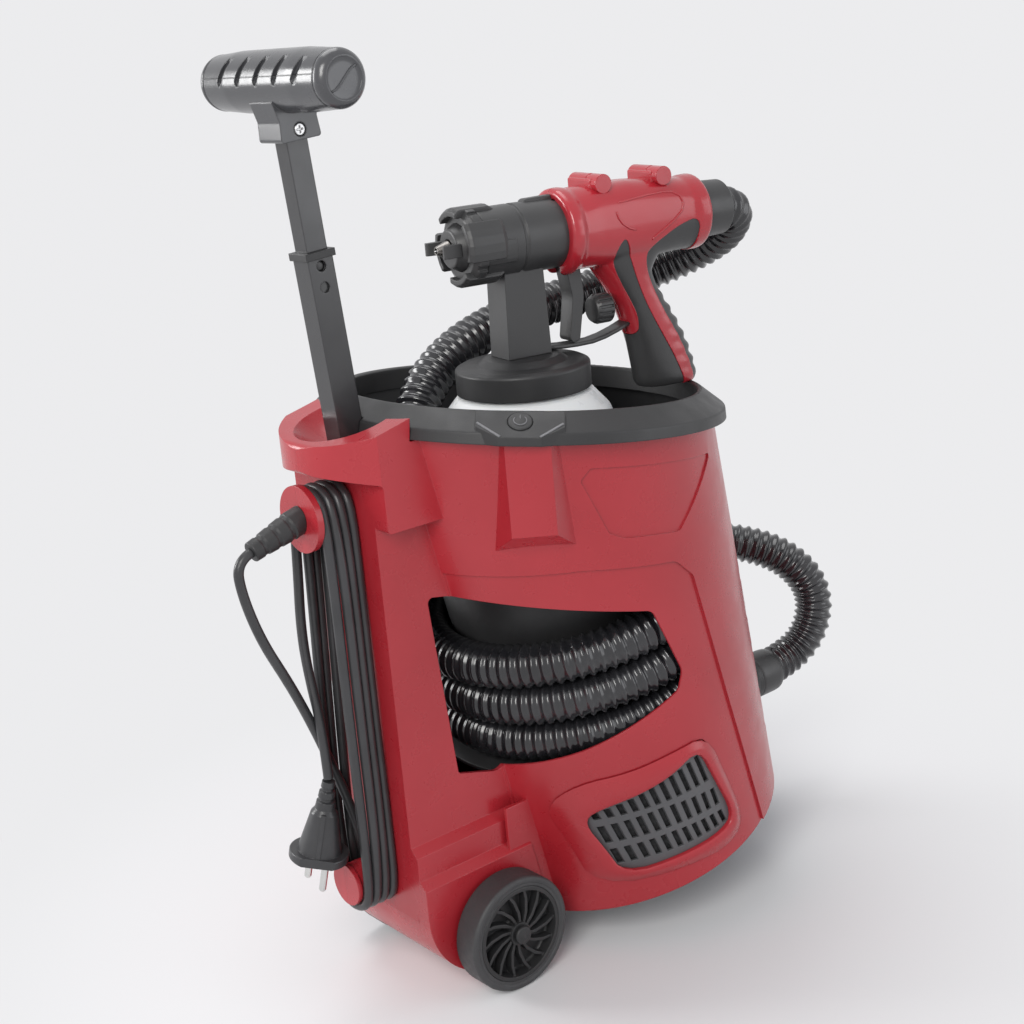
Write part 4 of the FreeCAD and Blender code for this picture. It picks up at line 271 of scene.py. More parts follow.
lead_route = list(boot_end)
for number, x in enumerate(slot_x):
    near, far = strand_circle + near_bow[number], strand_circle + far_bow[number]
    lead_route += round_drum(x, hook_z, upward=False)
    lead_route += [(x, -near, 0.126), (x - 0.001, -near - 0.001, 0.210), (x, -near, 0.300)]
    lead_route += round_drum(x, spool_z, upward=True)
    if number < 3:
        following = slot_x[number + 1]
        lead_route += [(x, far, 0.300), ((x + following) / 2, far + 0.001, 0.200),
                       (following, far, 0.126)]
lead_route += [(-0.190, 0.0172, 0.304), (-0.1942, 0.016, 0.262), (-0.196, 0.010, 0.232),
               (-0.197, 0.0005, 0.201), (-0.199, -0.003, 0.1665)]
lead = flexible_line("mains_lead", lead_route)
lead_spots = read_line(lead)
lead.data.bevel_depth = 1.0
for point in lead.data.splines[0].points:
    point.radius = cord_radius
lead.data.bevel_resolution = 5
lead.data.use_fill_caps = True
print("mains lead", round(length_of(lead_spots), 3), "m")

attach(lead, "machine")
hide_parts("mains_cord", "cord_winding")

# %% [markdown]
# ## The gun's shell and grip
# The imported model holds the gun's body as plain slabs. The real one is a soft, hand-shaped
# moulding whose barrel, neck and grip flow into each other. Such a form is lofted in two parts,
# one along the barrel and one down the grip. A voxel remesh then joins them into one skin, as clay
# would, and a few smoothing passes take the sharp valley out of the joint.

# %% The gun is made in millimetres in its own place, and brought into the frame at the end
millimetre = Matrix.Scale(0.001, 4)
gun_place = Matrix.Translation((-0.026, -0.022, 0.0)) @ Matrix.Rotation(radians(-10.0), 4, "Z")
barrel_z = 487.5


def new_piece(name, points, faces, smooth=True):
    mesh = bpy.data.meshes.new(name)
    mesh.from_pydata([tuple(point) for point in points], [], faces)
    mesh.polygons.foreach_set("use_smooth", [smooth] * len(mesh.polygons))
    piece = bpy.data.objects.new(name, mesh)
    bpy.context.scene.collection.objects.link(piece)
    return piece


def lofted(name, rings, smooth=True):
    """A closed skin over a stack of rings, each with as many points as the first."""
    around, faces = len(rings[0]), []
    for row in range(len(rings) - 1):
        for place in range(around):
            following = (place + 1) % around
            faces.append((row * around + place, row * around + following,
                          (row + 1) * around + following, (row + 1) * around + place))
    faces.append(tuple(reversed(range(around))))
    faces.append(tuple((len(rings) - 1) * around + place for place in range(around)))
    return new_piece(name, [point for ring in rings for point in ring], faces, smooth)


def squared_circle(power, count=40):
    """Points of a circle whose sides are flattened the more, the higher the power is."""
    spots = []
    for place in range(count):
        c, s = cos(2 * pi * place / count), sin(2 * pi * place / count)
        spots.append((abs(c) ** (2 / power) * (1 if c >= 0 else -1),
                      abs(s) ** (2 / power) * (1 if s >= 0 else -1)))
    return spots


# %% Sections of the body along the barrel: place, half width, height over and under, squareness
body_sections = [
    (29.9, 26.2, 26.2, 26.2, 2.0), (31.2, 27.9, 27.9, 27.9, 2.0), (37.2, 28.1, 28.1, 28.1, 2.0),
    (39.2, 26.8, 27.6, 26.8, 2.0), (41.5, 24.4, 26.8, 25.6, 2.2), (55.0, 23.4, 27.4, 25.4, 2.5),
    (84.0, 23.0, 27.6, 25.0, 2.6), (110.0, 22.9, 25.8, 24.4, 2.5), (128.5, 23.0, 23.6, 23.9, 2.3),
    (131.6, 24.6, 24.6, 24.8, 2.1), (138.8, 24.9, 24.9, 24.9, 2.0), (141.2, 23.4, 23.4, 23.4, 2.0),
]
body_rings = []
for x, half_wide, over, under, power in body_sections:
    body_rings.append([(x, c * half_wide, barrel_z + s * (over if s >= 0 else under))
                       for c, s in squared_circle(power)])
gun_form = lofted("gun_form", body_rings)

# %% Sections down the grip: height, front, rear, half width
grip_sections = [
    (502.0, 74.0, 110.0, 12.0), (484.0, 52.0, 126.0, 18.0), (472.0, 52.5, 118.0, 18.0),
    (463.0, 57.5, 107.0, 17.3), (454.0, 64.0, 101.5, 16.2), (444.0, 70.5, 104.5, 15.5),
    (433.0, 76.0, 111.0, 15.2), (420.0, 80.5, 118.5, 15.2), (405.0, 84.0, 126.0, 15.3),
    (390.0, 86.5, 131.0, 15.7), (379.0, 88.0, 134.0, 16.0), (374.6, 90.0, 132.5, 14.4),
]
grip_rings = []
for z, front, rear, half_wide in grip_sections:
    middle, half_deep = (front + rear) / 2, (rear - front) / 2
    grip_rings.append([(middle + c * half_deep, s * half_wide, z)
                       for c, s in squared_circle(2.35)])
grip_form = lofted("grip_form", grip_rings)
print("gun forms", len(body_rings), "and", len(grip_rings), "sections")


# %% [markdown]
# A modifier's result is read as a new mesh, and the modifier itself is left behind. The same helper
# then serves for the remesh, the smoothing and each cut.

# %% Run modifiers on a piece and keep only their result
def worked(piece, *steps):
    for kind, settings in steps:
        step = piece.modifiers.new(kind.lower(), kind)
        for key, value in settings.items():
            setattr(step, key, value)
    bpy.context.view_layer.update()
    seen = piece.evaluated_get(bpy.context.evaluated_depsgraph_get())
    mesh = bpy.data.meshes.new_from_object(seen)
    piece.modifiers.clear()
    old = piece.data
    piece.data = mesh
    bpy.data.meshes.remove(old)
    return piece


def put_away(*pieces):
    for piece in pieces:
        bpy.data.objects.remove(piece)


# %% Join the two lofts, and grow one skin over both
joined_points, joined_faces = [], []
for form in (gun_form, grip_form):
    shift = len(joined_points)
    joined_points += [tuple(v.co) for v in form.data.vertices]
    joined_faces += [tuple(v + shift for v in p.vertices) for p in form.data.polygons]
gun_core = new_piece("gun_core", joined_points, joined_faces)
put_away(gun_form, grip_form)
voxel = 1.15
worked(gun_core, ("REMESH", {"mode": "VOXEL", "voxel_size": voxel, "use_smooth_shade": True}),
       ("SMOOTH", {"factor": 0.5, "iterations": 7}))
print("gun core", len(gun_core.data.polygons), "faces")

# %% Ripples for the palm along the back of the grip, fading in from their ends and from the side
ripple_low, ripple_high, ripple_side = 380, 448, 98
ripple_height, ripple_pitch = 0.9, 9.5
end_fade, side_fade = 8, 14
for vertex in gun_core.data.vertices:
    x, y, z = vertex.co
    if ripple_low < z < ripple_high and x > ripple_side:
        fade_in = (min(1.0, (z - ripple_low) / end_fade, (ripple_high - z) / end_fade)
                   * min(1.0, (x - ripple_side) / side_fade))
        vertex.co.x += ripple_height * fade_in * cos(2 * pi * (z - ripple_low) / ripple_pitch)

# %% Room for the trigger's blade and for the needle behind it
def block(name, low, high):
    (x0, y0, z0), (x1, y1, z1) = low, high
    points = [(x, y, z) for x in (x0, x1) for y in (y0, y1) for z in (z0, z1)]
    return new_piece(name, points, [(0, 1, 3, 2), (4, 6, 7, 5), (0, 4, 5, 1), (2, 3, 7, 6),
                                    (0, 2, 6, 4), (1, 5, 7, 3)], smooth=False)


slot_room = block("slot_room", (20.0, -7.4, 440.0), (60.0, 7.4, 509.5))
needle_room = block("needle_room", (20.0, -5.0, barrel_z - 5.0), (92.0, 5.0, barrel_z + 5.0))
for room in (slot_room, needle_room):
    worked(gun_core, ("BOOLEAN", {"operation": "DIFFERENCE", "object": room, "solver": "EXACT"}))
put_away(slot_room, needle_room)

# %% [markdown]
# The gun is two materials. Red moulding covers the body and runs down the grip as two straps, one
# round the front and one along the back, and soft black shows between and behind them. Both skins
# are the same form: the black is the core itself, and the red is the core grown by half a
# millimetre and kept only inside an outline drawn from the side. Corner cutting rounds that
# outline.

# %% The red moulding's outline, seen from the side
red_outline = [
    (70.0, 411.5), (80.5, 411.5), (84.6, 414.0), (85.2, 419.0), (83.4, 428.0),
    (78.2, 439.0), (72.0, 450.0), (67.0, 460.0), (65.0, 469.0), (67.0, 475.5), (71.7, 480.5),
    (75.6, 472.5), (79.7, 460.0), (84.7, 446.0), (91.4, 430.0), (100.6, 412.0), (110.0, 394.0),
    (117.0, 376.0), (117.5, 366.0), (129.5, 366.0), (126.8, 374.0), (122.3, 390.2),
    (114.6, 408.1), (105.0, 424.4), (97.4, 440.3), (92.2, 454.1), (90.0, 463.5), (93.0, 471.0),
    (104.0, 478.0), (117.0, 484.0), (130.4, 486.5), (130.4, 470.0), (131.0, 455.0),
    (131.5, 454.0), (149.0, 454.0), (150.0, 455.0), (150.0, 529.0), (149.0, 530.0), (-19.0, 530.0),
    (-20.0, 529.0), (-20.0, 412.5), (-19.0, 411.5),
]


def corners_cut(outline, times=2):
    for _ in range(times):
        softer = []
        for (ax, az), (bx, bz) in zip(outline, outline[1:] + outline[:1]):
            softer += [(ax * 0.75 + bx * 0.25, az * 0.75 + bz * 0.25),
                       (ax * 0.25 + bx * 0.75, az * 0.25 + bz * 0.75)]
        outline = softer
    return outline


def side_prism(name, outline, y0, y1):
    count = len(outline)
    points = [(x, y0, z) for x, z in outline] + [(x, y1, z) for x, z in outline]
    faces = [tuple(range(count)), tuple(reversed(range(count, count * 2)))]
    for place in range(count):
        following = (place + 1) % count
        faces.append((place, place + count, following + count, following))
    return new_piece(name, points, faces, smooth=False)


# %% Cut the red halves out of the grown core, a hair apart at the parting line
red_thickness, half_gap, well_clear = 0.5, 0.10, 45.0
grown = [vertex.co + vertex.normal * red_thickness for vertex in gun_core.data.vertices]
grown_faces = [tuple(p.vertices) for p in gun_core.data.polygons]
red_halves = []
for side, y0, y1 in (("right", -well_clear, -half_gap), ("left", half_gap, well_clear)):
    half = new_piece("gun_shell_" + side, grown, grown_faces)
    prism = side_prism("red_prism", corners_cut(red_outline), y0, y1)
    worked(half, ("BOOLEAN", {"operation": "INTERSECT", "object": prism, "solver": "EXACT"}))
    put_away(prism)
    red_halves.append(half)
    print(half.name, len(half.data.polygons), "faces")

# %% [markdown]
# ## Small forms on the gun
# A raised line frames the gun's side. It follows the shell wherever it bulges, so its points are
# found by shooting a ray at the shell from the side. Lugs, key and wings are small hard-edged forms
# on the shell or the barrel, each a loft with a bevel, because no real moulding has a knife edge.

# %% Lines raised on the shell's side
def wire(name, spots, radius, lift=Vector((0, 1, 0)), sides=8):
    """A thin round ridge along the spots, which pinches in at its two ends."""
    rings = []
    for number, spot in enumerate(spots):
        ahead = spots[min(number + 1, len(spots) - 1)] - spots[max(number - 1, 0)]
        ahead.normalize()
        out = (lift - ahead * ahead.dot(lift)).normalized()
        other = ahead.cross(out)
        thick = radius * (0.35 if number in (0, len(spots) - 1) else 1.0)
        turns = [2 * pi * k / sides for k in range(sides)]
        rings.append([spot + (out * cos(turn) + other * sin(turn)) * thick for turn in turns])
    return lofted(name, rings)


def on_shell(half, x, z, side):
    hit, spot, _, _ = half.ray_cast(Vector((x, side * 60.0, z)), Vector((0, -side, 0)))
    return spot if hit else None


upper_line = [(68.0, 503.0), (80.0, 504.2), (92.0, 505.2), (104.0, 505.6), (112.0, 504.6),
              (117.0, 501.6), (118.6, 497.0), (116.5, 492.0), (110.0, 486.8), (102.0, 482.0),
              (95.0, 478.0), (92.5, 476.0)]
lower_line = [(65.6, 498.0), (66.8, 493.5), (69.5, 489.5), (74.0, 486.4), (80.0, 484.0)]
side_line_radius = 0.8
side_lines = []
for half, title_of_half, side in zip(red_halves, ("right", "left"), (-1, 1)):
    for title, line in (("upper", upper_line), ("lower", lower_line)):
        finer = []
        for (ax, az), (bx, bz) in zip(line, line[1:]):
            finer += [(ax + (bx - ax) * k / 4, az + (bz - az) * k / 4) for k in range(4)]
        spots = [on_shell(half, x, z, side) for x, z in finer + [line[-1]]]
        spots = [spot for spot in spots if spot]
        name = "shell_%s_line_%s" % (title, title_of_half)
        side_lines.append(wire(name, spots, side_line_radius))
print("side lines", [piece.name for piece in side_lines])


# %% Two lugs across the top, each a block and a roller with a groove
def edges_rounded(piece, width, segments=2, sharper_than=40):
    return worked(piece, ("BEVEL", {"width": width, "segments": segments,
                                    "angle_limit": radians(sharper_than)}))


lug_radius, lug_sides = 6.3, 28
lug_profile = [(17.0, 0.0), (-3.0, 0.0), (-3.3, -0.7), (-4.7, -0.7), (-5.0, 0.0), (-17.0, 0.0)]
lugs = []
for number, (x, lift) in enumerate(((61.0, 28.4), (108.0, 28.0))):
    z = barrel_z + lift
    rings = []
    for y, grown_by in lug_profile:
        rings.append([(x + (lug_radius + grown_by) * cos(2 * pi * k / lug_sides), y,
                       z + (lug_radius + grown_by) * sin(2 * pi * k / lug_sides))
                      for k in range(lug_sides)])
    bar = edges_rounded(lofted("lug_%d" % number, rings, smooth=False), 0.7)
    foot = block("lug_foot_%d" % number, (x - 7.0, -12.0, barrel_z + 20.0),
                 (x + 7.0, 16.5, z + 3.6))
    lugs += [bar, edges_rounded(foot, 1.4, segments=3)]

# %% The black guard under the trigger, a flat strip that rises into the grip
guard_line = [(13.0, 414.3), (22.0, 414.1), (30.0, 413.3), (40.0, 412.9), (52.0, 413.0),
              (62.0, 414.6), (72.0, 417.4), (82.0, 421.0)]
guard_half_wide, guard_half_thick = 6.6, 1.7
guard = lofted("trigger_guard",
               [[(x, c * guard_half_wide, z + s * guard_half_thick)
                 for c, s in squared_circle(4.0, 24)] for x, z in guard_line])

# %% Four wings round the cap ring, a key on the barrel and a step plate on its side
def arc_plate(name, turn, span, inner, outer, stretch, taper=0.0):
    """A raised plate on the barrel, bent round it, between the places in stretch."""
    rings = []
    for x, rise in stretch:
        ring = []
        for share in (0.0, 0.2, 0.4, 0.6, 0.8, 1.0):
            angle = radians(turn + span * (share - 0.5))
            ring.append((x, inner * cos(angle), barrel_z + inner * sin(angle)))
        for share in (1.0, 0.8, 0.6, 0.4, 0.2, 0.0):
            angle = radians(turn + (span - taper) * (share - 0.5))
            ring.append((x, (outer + rise) * cos(angle), barrel_z + (outer + rise) * sin(angle)))
        rings.append(ring)
    return edges_rounded(lofted(name, rings, smooth=False), 0.6, sharper_than=35)


wing_turns = (78.0, 168.0, 258.0, 348.0)
wing_stretch = [(-43.5, -2.0), (-41.0, 0.0), (-19.0, 0.0), (-15.5, -2.2)]
barrel_trim = [arc_plate("cap_wing_%d" % number, turn, 66.0, 20.0, 25.3, wing_stretch, 6.0)
               for number, turn in enumerate(wing_turns)]
barrel_trim.append(arc_plate("barrel_key", 88.0, 24.0, 21.0, 24.6,
                             [(9.0, -0.9), (11.0, 0.0), (29.4, 0.4)], 5.0))
barrel_trim.append(arc_plate("barrel_step", 190.0, 40.0, 21.0, 23.7,
                             [(-30.0, 0.0), (-9.0, 0.0)], 3.0))
print("on the barrel", [piece.name for piece in barrel_trim])

# %% Bring everything of the gun into the frame, where it rides with the machine
gun_red = red_halves + side_lines + lugs
gun_dark = [gun_core, guard] + barrel_trim
for piece in gun_red + gun_dark:
    piece.data.transform(gun_place @ millimetre)
    piece.data.update()
    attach(piece, "machine")
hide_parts("gun_body_right")
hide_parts("gun_body_left")
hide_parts("grip_pad")

# %% [markdown]
# ## Ends of the handle
# Each end of the T grip is a cap with a generous round edge and a shallow round face. An S-shaped
# ridge runs over that face. The cap is a loft of circles along the grip.

# %% Two end caps with a sunk face and a ridge
handle_lean = radians(4.5)
handle_place = Matrix.Translation((-0.1535, 0.0, 0.375)) @ Matrix.Rotation(-handle_lean, 4, "Y")
grip_axis, cap_face = 225.5, 65.85
cap_profile = [(59.05, 16.2), (59.8, 16.9), (61.6, 16.8), (63.4, 16.2), (64.9, 15.1), (66.0, 13.7),
               (66.6, 12.4), (66.6, 11.9), (66.1, 11.6), (65.9, 11.2), (65.85, 8.0), (65.8, 3.0),
               (65.8, 0.5)]
grip_caps = []
for title, side in (("near", -1), ("far", 1)):
    rings = []
    for out, radius in cap_profile:
        rings.append([(radius * cos(side * 2 * pi * k / 48), out * side,
                       grip_axis + radius * sin(side * 2 * pi * k / 48)) for k in range(48)])
    cap = lofted("grip_cap_" + title, rings)
    bow = [k / 12 - 1 for k in range(25)]
    ridge_half_wide, ridge_half_high, ridge_radius = 9.6, 5.8, 0.8
    ridge = wire("grip_ridge_" + title,
                 [Vector((ridge_half_wide * u, cap_face * side,
                          grip_axis + ridge_half_high * u * (1.5 - 0.5 * u * u)))
                  for u in bow], ridge_radius)
    grip_caps += [cap, ridge]
for piece in grip_caps:
    piece.data.transform(handle_place @ millimetre)
    piece.data.update()
    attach(piece, "handle")
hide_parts("grip_ends")
print("handle ends", [piece.name for piece in grip_caps])

# %% [markdown]
# ## The badge round the power button
# The tab on the rim carries the button. Two pale strips are let into its slanted edges, and the
# button shows the common sign for power, a ring that is open at the top with a bar in the gap. A
# frame on the button's face, with Z out of it and X down the slope, makes both easy to place.

# %% Strips on the tab, and the sign on the button
button_place = (Matrix.Translation((-0.013, 0.0, 0.372)) @ Matrix.Rotation(radians(7.0), 4, "Y")
                @ Matrix.Rotation(radians(230.0), 4, "Z") @ Matrix.Translation((0.129, 0.0, 0.0097))
                @ Matrix.Rotation(radians(35.0), 4, "Y") @ millimetre)
strip_section = ((-1, 0.2), (1, 0.2), (0.85, 1.0), (-0.85, 1.0))
strip_half_wide = 0.8
badge_strips = []
for title, side in (("front", -1), ("rear", 1)):
    a, b = Vector((1.2, 26.0 * side, 0.0)), Vector((13.0, 12.0 * side, 0.0))
    along = (b - a).normalized()
    across = Vector((-along.y, along.x, 0.0)) * strip_half_wide
    strip = lofted("badge_strip_" + title,
                   [[tuple(end + across * w + Vector((0, 0, h))) for w, h in strip_section]
                    for end in (a, b)], smooth=False)
    badge_strips.append(strip)
    strip.data.transform(button_place)
    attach(strip, "machine")
sign_radius, sign_stroke = 3.9, 0.38
open_ring = [Vector((-sign_radius * cos(radians(t)), sign_radius * sin(radians(t)), 1.85))
             for t in range(38, 323, 12)]
bar = [Vector((-1.2 - 0.9 * k, 0.0, 1.9 - 0.03 * k)) for k in range(5)]
power_sign = [wire("power_sign_ring", open_ring, sign_stroke, lift=Vector((0, 0, 1))),
              wire("power_sign_bar", bar, sign_stroke, lift=Vector((0, 0, 1)))]
for piece in power_sign:
    piece.data.transform(button_place)
    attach(piece, "power")
print("badge", [piece.name for piece in badge_strips + power_sign])

# %% [markdown]
# ## The sleeve on the outlet hose
# A plain rubber sleeve grips the hose where it meets the cuff, so that the ribs don't start at the
# cuff's edge.

# %% A short turned sleeve
outlet_z = 107.0
sleeve_profile = [(195.2, 16.6), (195.9, 17.3), (198.0, 17.5), (213.0, 17.4), (217.5, 17.0),
                  (218.8, 16.2), (219.1, 15.3)]
sleeve_rings = [[(x, radius * cos(2 * pi * k / 40), outlet_z + radius * sin(2 * pi * k / 40))
                 for k in range(40)] for x, radius in sleeve_profile]
sleeve = lofted("outlet_sleeve", sleeve_rings)
sleeve.data.transform(millimetre)
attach(sleeve, "machine")

# %% [markdown]
# ## The air inlet
# The inlet's grille lies in a raised frame low on the near side. Its outline and its slots are
# drawn flat, as seen from the side, and then laid on the tub. The tub is a cone that leans back,
# so for any place on that drawing the distance out to its wall follows from one square root.

# %% Lay a side drawing on the leaning tub
tub_lean = radians(11.14)
tub_tall = 320.0 / cos(tub_lean)
base_x, base_z = 50.0, 52.0
base_radius, radius_gain = 117.0, 9.0


def tub_radius(high, out):
    return base_radius + radius_gain * high / tub_tall + out


def on_tub(x, z, out):
    """The point of the near wall at this place of the side drawing, moved out from the skin."""
    high = -(x - base_x) * sin(tub_lean) + (z - base_z) * cos(tub_lean)
    across = (x - base_x) * cos(tub_lean) + (z - base_z) * sin(tub_lean)
    radius = tub_radius(high, out)
    return (x, -sqrt(radius * radius - across * across), z)


# %% The raised frame: a slope, a flat land, and a wall down to the grille
inlet = [(-52.5, 103.0), (-41.0, 82.0), (-30.0, 60.0), (5.0, 67.5), (40.0, 75.0), (50.0, 84.0),
         (34.0, 115.0), (18.0, 146.0), (-4.0, 131.0), (-22.0, 123.0), (-48.0, 112.5)]
frame_edge = [(-69.0, 114.0), (-56.0, 85.0), (-43.0, 50.5), (8.0, 57.0), (51.0, 62.0),
              (61.5, 78.0), (46.0, 112.0), (27.0, 152.5), (-4.0, 146.5), (-30.0, 139.0),
              (-57.0, 133.5)]
frame_profile = ((1.0, -0.5), (0.92, 0.25), (0.50, 2.0), (0.40, 2.3), (0.12, 2.3), (0.03, 1.9),
                 (0.0, 1.2), (0.0, -2.6))


def between(inner, outer, share):
    return [(ax + (bx - ax) * share, az + (bz - az) * share)
            for (ax, az), (bx, bz) in zip(inner, outer)]


frame_rings = []
for share, out in frame_profile:
    ring = corners_cut(between(inlet, frame_edge, share), 2)
    frame_rings.append([on_tub(x, z, out) for x, z in ring])
around = len(frame_rings[0])
inlet_frame = new_piece(
    "inlet_frame", [spot for ring in frame_rings for spot in ring],
    [(row * around + k, row * around + (k + 1) % around, (row + 1) * around + (k + 1) % around,
      (row + 1) * around + k) for row in range(len(frame_rings) - 1) for k in range(around)])
inlet_frame.data.transform(millimetre)
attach(inlet_frame, "machine")
print("inlet frame", len(inlet_frame.data.polygons), "faces")


# %% A slice of the tub's cone, which gives the grille its two faces
def cone_slice(name, out, count=240):
    rings = []
    for high in (-40.0, 160.0):
        radius, ring = tub_radius(high, out), []
        for k in range(count):
            c, s = cos(2 * pi * k / count), sin(2 * pi * k / count)
            ring.append((base_x - high * sin(tub_lean) + radius * c * cos(tub_lean), radius * s,
                         base_z + high * cos(tub_lean) + radius * c * sin(tub_lean)))
        rings.append(ring)
    return lofted(name, rings)


# %% [markdown]
# The slots stand in three rows that fan out a little. Each row is given by its first, middle and
# last slot, each of these by its top and its bottom, and the slots between follow by mixing.

# %% Three rows of eleven slots, as bars that reach through the wall
slot_rows = [
    [((-46.5, 109.5), (-44.0, 104.0)), ((-15.0, 123.5), (-9.5, 110.0)),
     ((18.0, 138.5), (27.0, 116.5))],
    [((-42.5, 98.5), (-37.0, 85.0)), ((-8.5, 106.8), (-2.0, 90.5)), ((31.5, 109.5), (36.5, 95.5))],
    [((-35.0, 80.0), (-30.0, 68.0)), ((1.0, 86.8), (6.5, 73.5)), ((37.8, 90.5), (43.0, 80.0))],
]
slots_to_middle = 5
slot_half_wide, slot_slant = 1.9, 0.4
outside_y, inside_y = -140.0, -60.0
bar_faces = ((3, 2, 1, 0), (4, 5, 6, 7), (1, 5, 4, 0), (2, 6, 5, 1), (3, 7, 6, 2), (0, 4, 7, 3))
slot_points, slot_faces = [], []
for first, middle, last in slot_rows:
    for number in range(2 * slots_to_middle + 1):
        share = number / slots_to_middle
        (a, b), (c, d) = (first, middle) if share <= 1 else (middle, last)
        t = share if share <= 1 else share - 1
        top_x, top_z = a[0] + (c[0] - a[0]) * t, a[1] + (c[1] - a[1]) * t
        low_x, low_z = b[0] + (d[0] - b[0]) * t, b[1] + (d[1] - b[1]) * t
        start = len(slot_points)
        for y in (outside_y, inside_y):
            slot_points += [(top_x - slot_half_wide, y, top_z - slot_slant),
                            (top_x + slot_half_wide, y, top_z + slot_slant),
                            (low_x + slot_half_wide, y, low_z + slot_slant),
                            (low_x - slot_half_wide, y, low_z - slot_slant)]
        slot_faces += [tuple(start + k for k in face) for face in bar_faces]
slots = new_piece("inlet_slots", slot_points, slot_faces, smooth=False)

# %% Cut the plate out of the cone, then the slots out of the plate
grille_face, grille_back = -1.4, -3.4
inner_cone = cone_slice("inner_cone", grille_back)
plate_prism = side_prism("plate_prism", corners_cut(inlet, 2), outside_y, inside_y)
inlet_grille = cone_slice("inlet_grille", grille_face)
for kind, cutter in (("INTERSECT", plate_prism), ("DIFFERENCE", inner_cone),
                     ("DIFFERENCE", slots)):
    worked(inlet_grille, ("BOOLEAN", {"operation": kind, "object": cutter, "solver": "EXACT"}))
put_away(slots, inner_cone, plate_prism)
inlet_grille.data.set_sharp_from_angle(angle=radians(35))
inlet_grille.data.transform(millimetre)
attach(inlet_grille, "machine")
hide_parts("grille")
print("grille", len(inlet_grille.data.polygons), "faces")

# %% Webs that close the wheel arches between tail and tub
web_outline = [(-92.0, 30.0), (-48.0, 28.0), (-52.0, 60.0), (-62.0, 100.0), (-70.0, 118.0),
               (-92.0, 118.0)]
web_outside, web_inside = 46.6, 43.6
tail_webs = []
for title, side in (("near", -1), ("far", 1)):
    web = side_prism("arch_web_" + title, web_outline, side * web_outside, side * web_inside)
    edges_rounded(web, 0.6)
    web.data.transform(millimetre)
    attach(web, "machine")
    tail_webs.append(web)

# %% [markdown]
# ## Finishes
# Nothing moulded is one flat colour. Plastic cools unevenly, so its colour drifts a little over a
# few centimetres, its gloss is patchy, and a fine grain breaks up the highlight. Corners are never
# knife sharp either. Rounding each edge of the mesh would be slow and would touch the fixed model,
# so a bevel node bends the normals near an edge and gives the same bright line.

# %% A moulded finish, built from two near colours, uneven gloss, grain and soft corners
def moulded(name, deep, pale, rough=(0.30, 0.40), patch=9.0, grain=700.0, relief=0.08,
            corner=0.0009, coat=0.0, metal=0.0):
    material = bpy.data.materials.new(name)
    material.use_nodes = True
    nodes, links = material.node_tree.nodes, material.node_tree.links
    plastic = nodes["Principled BSDF"]
    place = nodes.new("ShaderNodeTexCoord")
    drift = nodes.new("ShaderNodeTexNoise")
    drift.inputs["Scale"].default_value = patch
    drift.inputs["Detail"].default_value = 4.0
    links.new(place.outputs["Object"], drift.inputs["Vector"])
    tint = nodes.new("ShaderNodeValToRGB")
    tint.color_ramp.elements[0].position = 0.35
    tint.color_ramp.elements[0].color = (*deep, 1.0)
    tint.color_ramp.elements[1].position = 0.65
    tint.color_ramp.elements[1].color = (*pale, 1.0)
    links.new(drift.outputs["Fac"], tint.inputs["Fac"])
    links.new(tint.outputs["Color"], plastic.inputs["Base Color"])
    smear = nodes.new("ShaderNodeTexNoise")
    smear.inputs["Scale"].default_value = patch * 7.0
    smear.inputs["Detail"].default_value = 6.0
    links.new(place.outputs["Object"], smear.inputs["Vector"])
    gloss = nodes.new("ShaderNodeMapRange")
    gloss.inputs["From Min"].default_value = 0.35
    gloss.inputs["From Max"].default_value = 0.65
    gloss.inputs["To Min"].default_value = rough[0]
    gloss.inputs["To Max"].default_value = rough[1]
    links.new(smear.outputs["Fac"], gloss.inputs["Value"])
    links.new(gloss.outputs["Result"], plastic.inputs["Roughness"])
    soft = nodes.new("ShaderNodeBevel")
    soft.samples = 6
    soft.inputs["Radius"].default_value = corner
    fine = nodes.new("ShaderNodeTexNoise")
    fine.inputs["Scale"].default_value = grain
    fine.inputs["Detail"].default_value = 3.0
    links.new(place.outputs["Object"], fine.inputs["Vector"])
    bump = nodes.new("ShaderNodeBump")
    bump.inputs["Strength"].default_value = relief
    bump.inputs["Distance"].default_value = 0.0004
    links.new(fine.outputs["Fac"], bump.inputs["Height"])
    links.new(soft.outputs["Normal"], bump.inputs["Normal"])
    links.new(bump.outputs["Normal"], plastic.inputs["Normal"])
    plastic.inputs["Coat Weight"].default_value = coat
    plastic.inputs["Coat Roughness"].default_value = 0.18
    plastic.inputs["Metallic"].default_value = metal
    print("finish", name)
    return material


# %% Put a finish on parts of the model, by name, or on pieces made here
def dress(finish, *names):
    for name in names:
        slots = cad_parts[name].data.materials
        for number in range(len(slots)):
            slots[number] = finish
        if not len(slots):
            slots.append(finish)


def coat_over(finish, *pieces):
    for piece in pieces:
        piece.data.materials.clear()
        piece.data.materials.append(finish)


# %% [markdown]
# The tub and the gun are the same red, but the tub is a satin moulding with a faint texture and
# the gun is polished. The trim is black with a spark-eroded grain. A black plastic is really a very
# dark grey, and written as pure black it would lose every form.

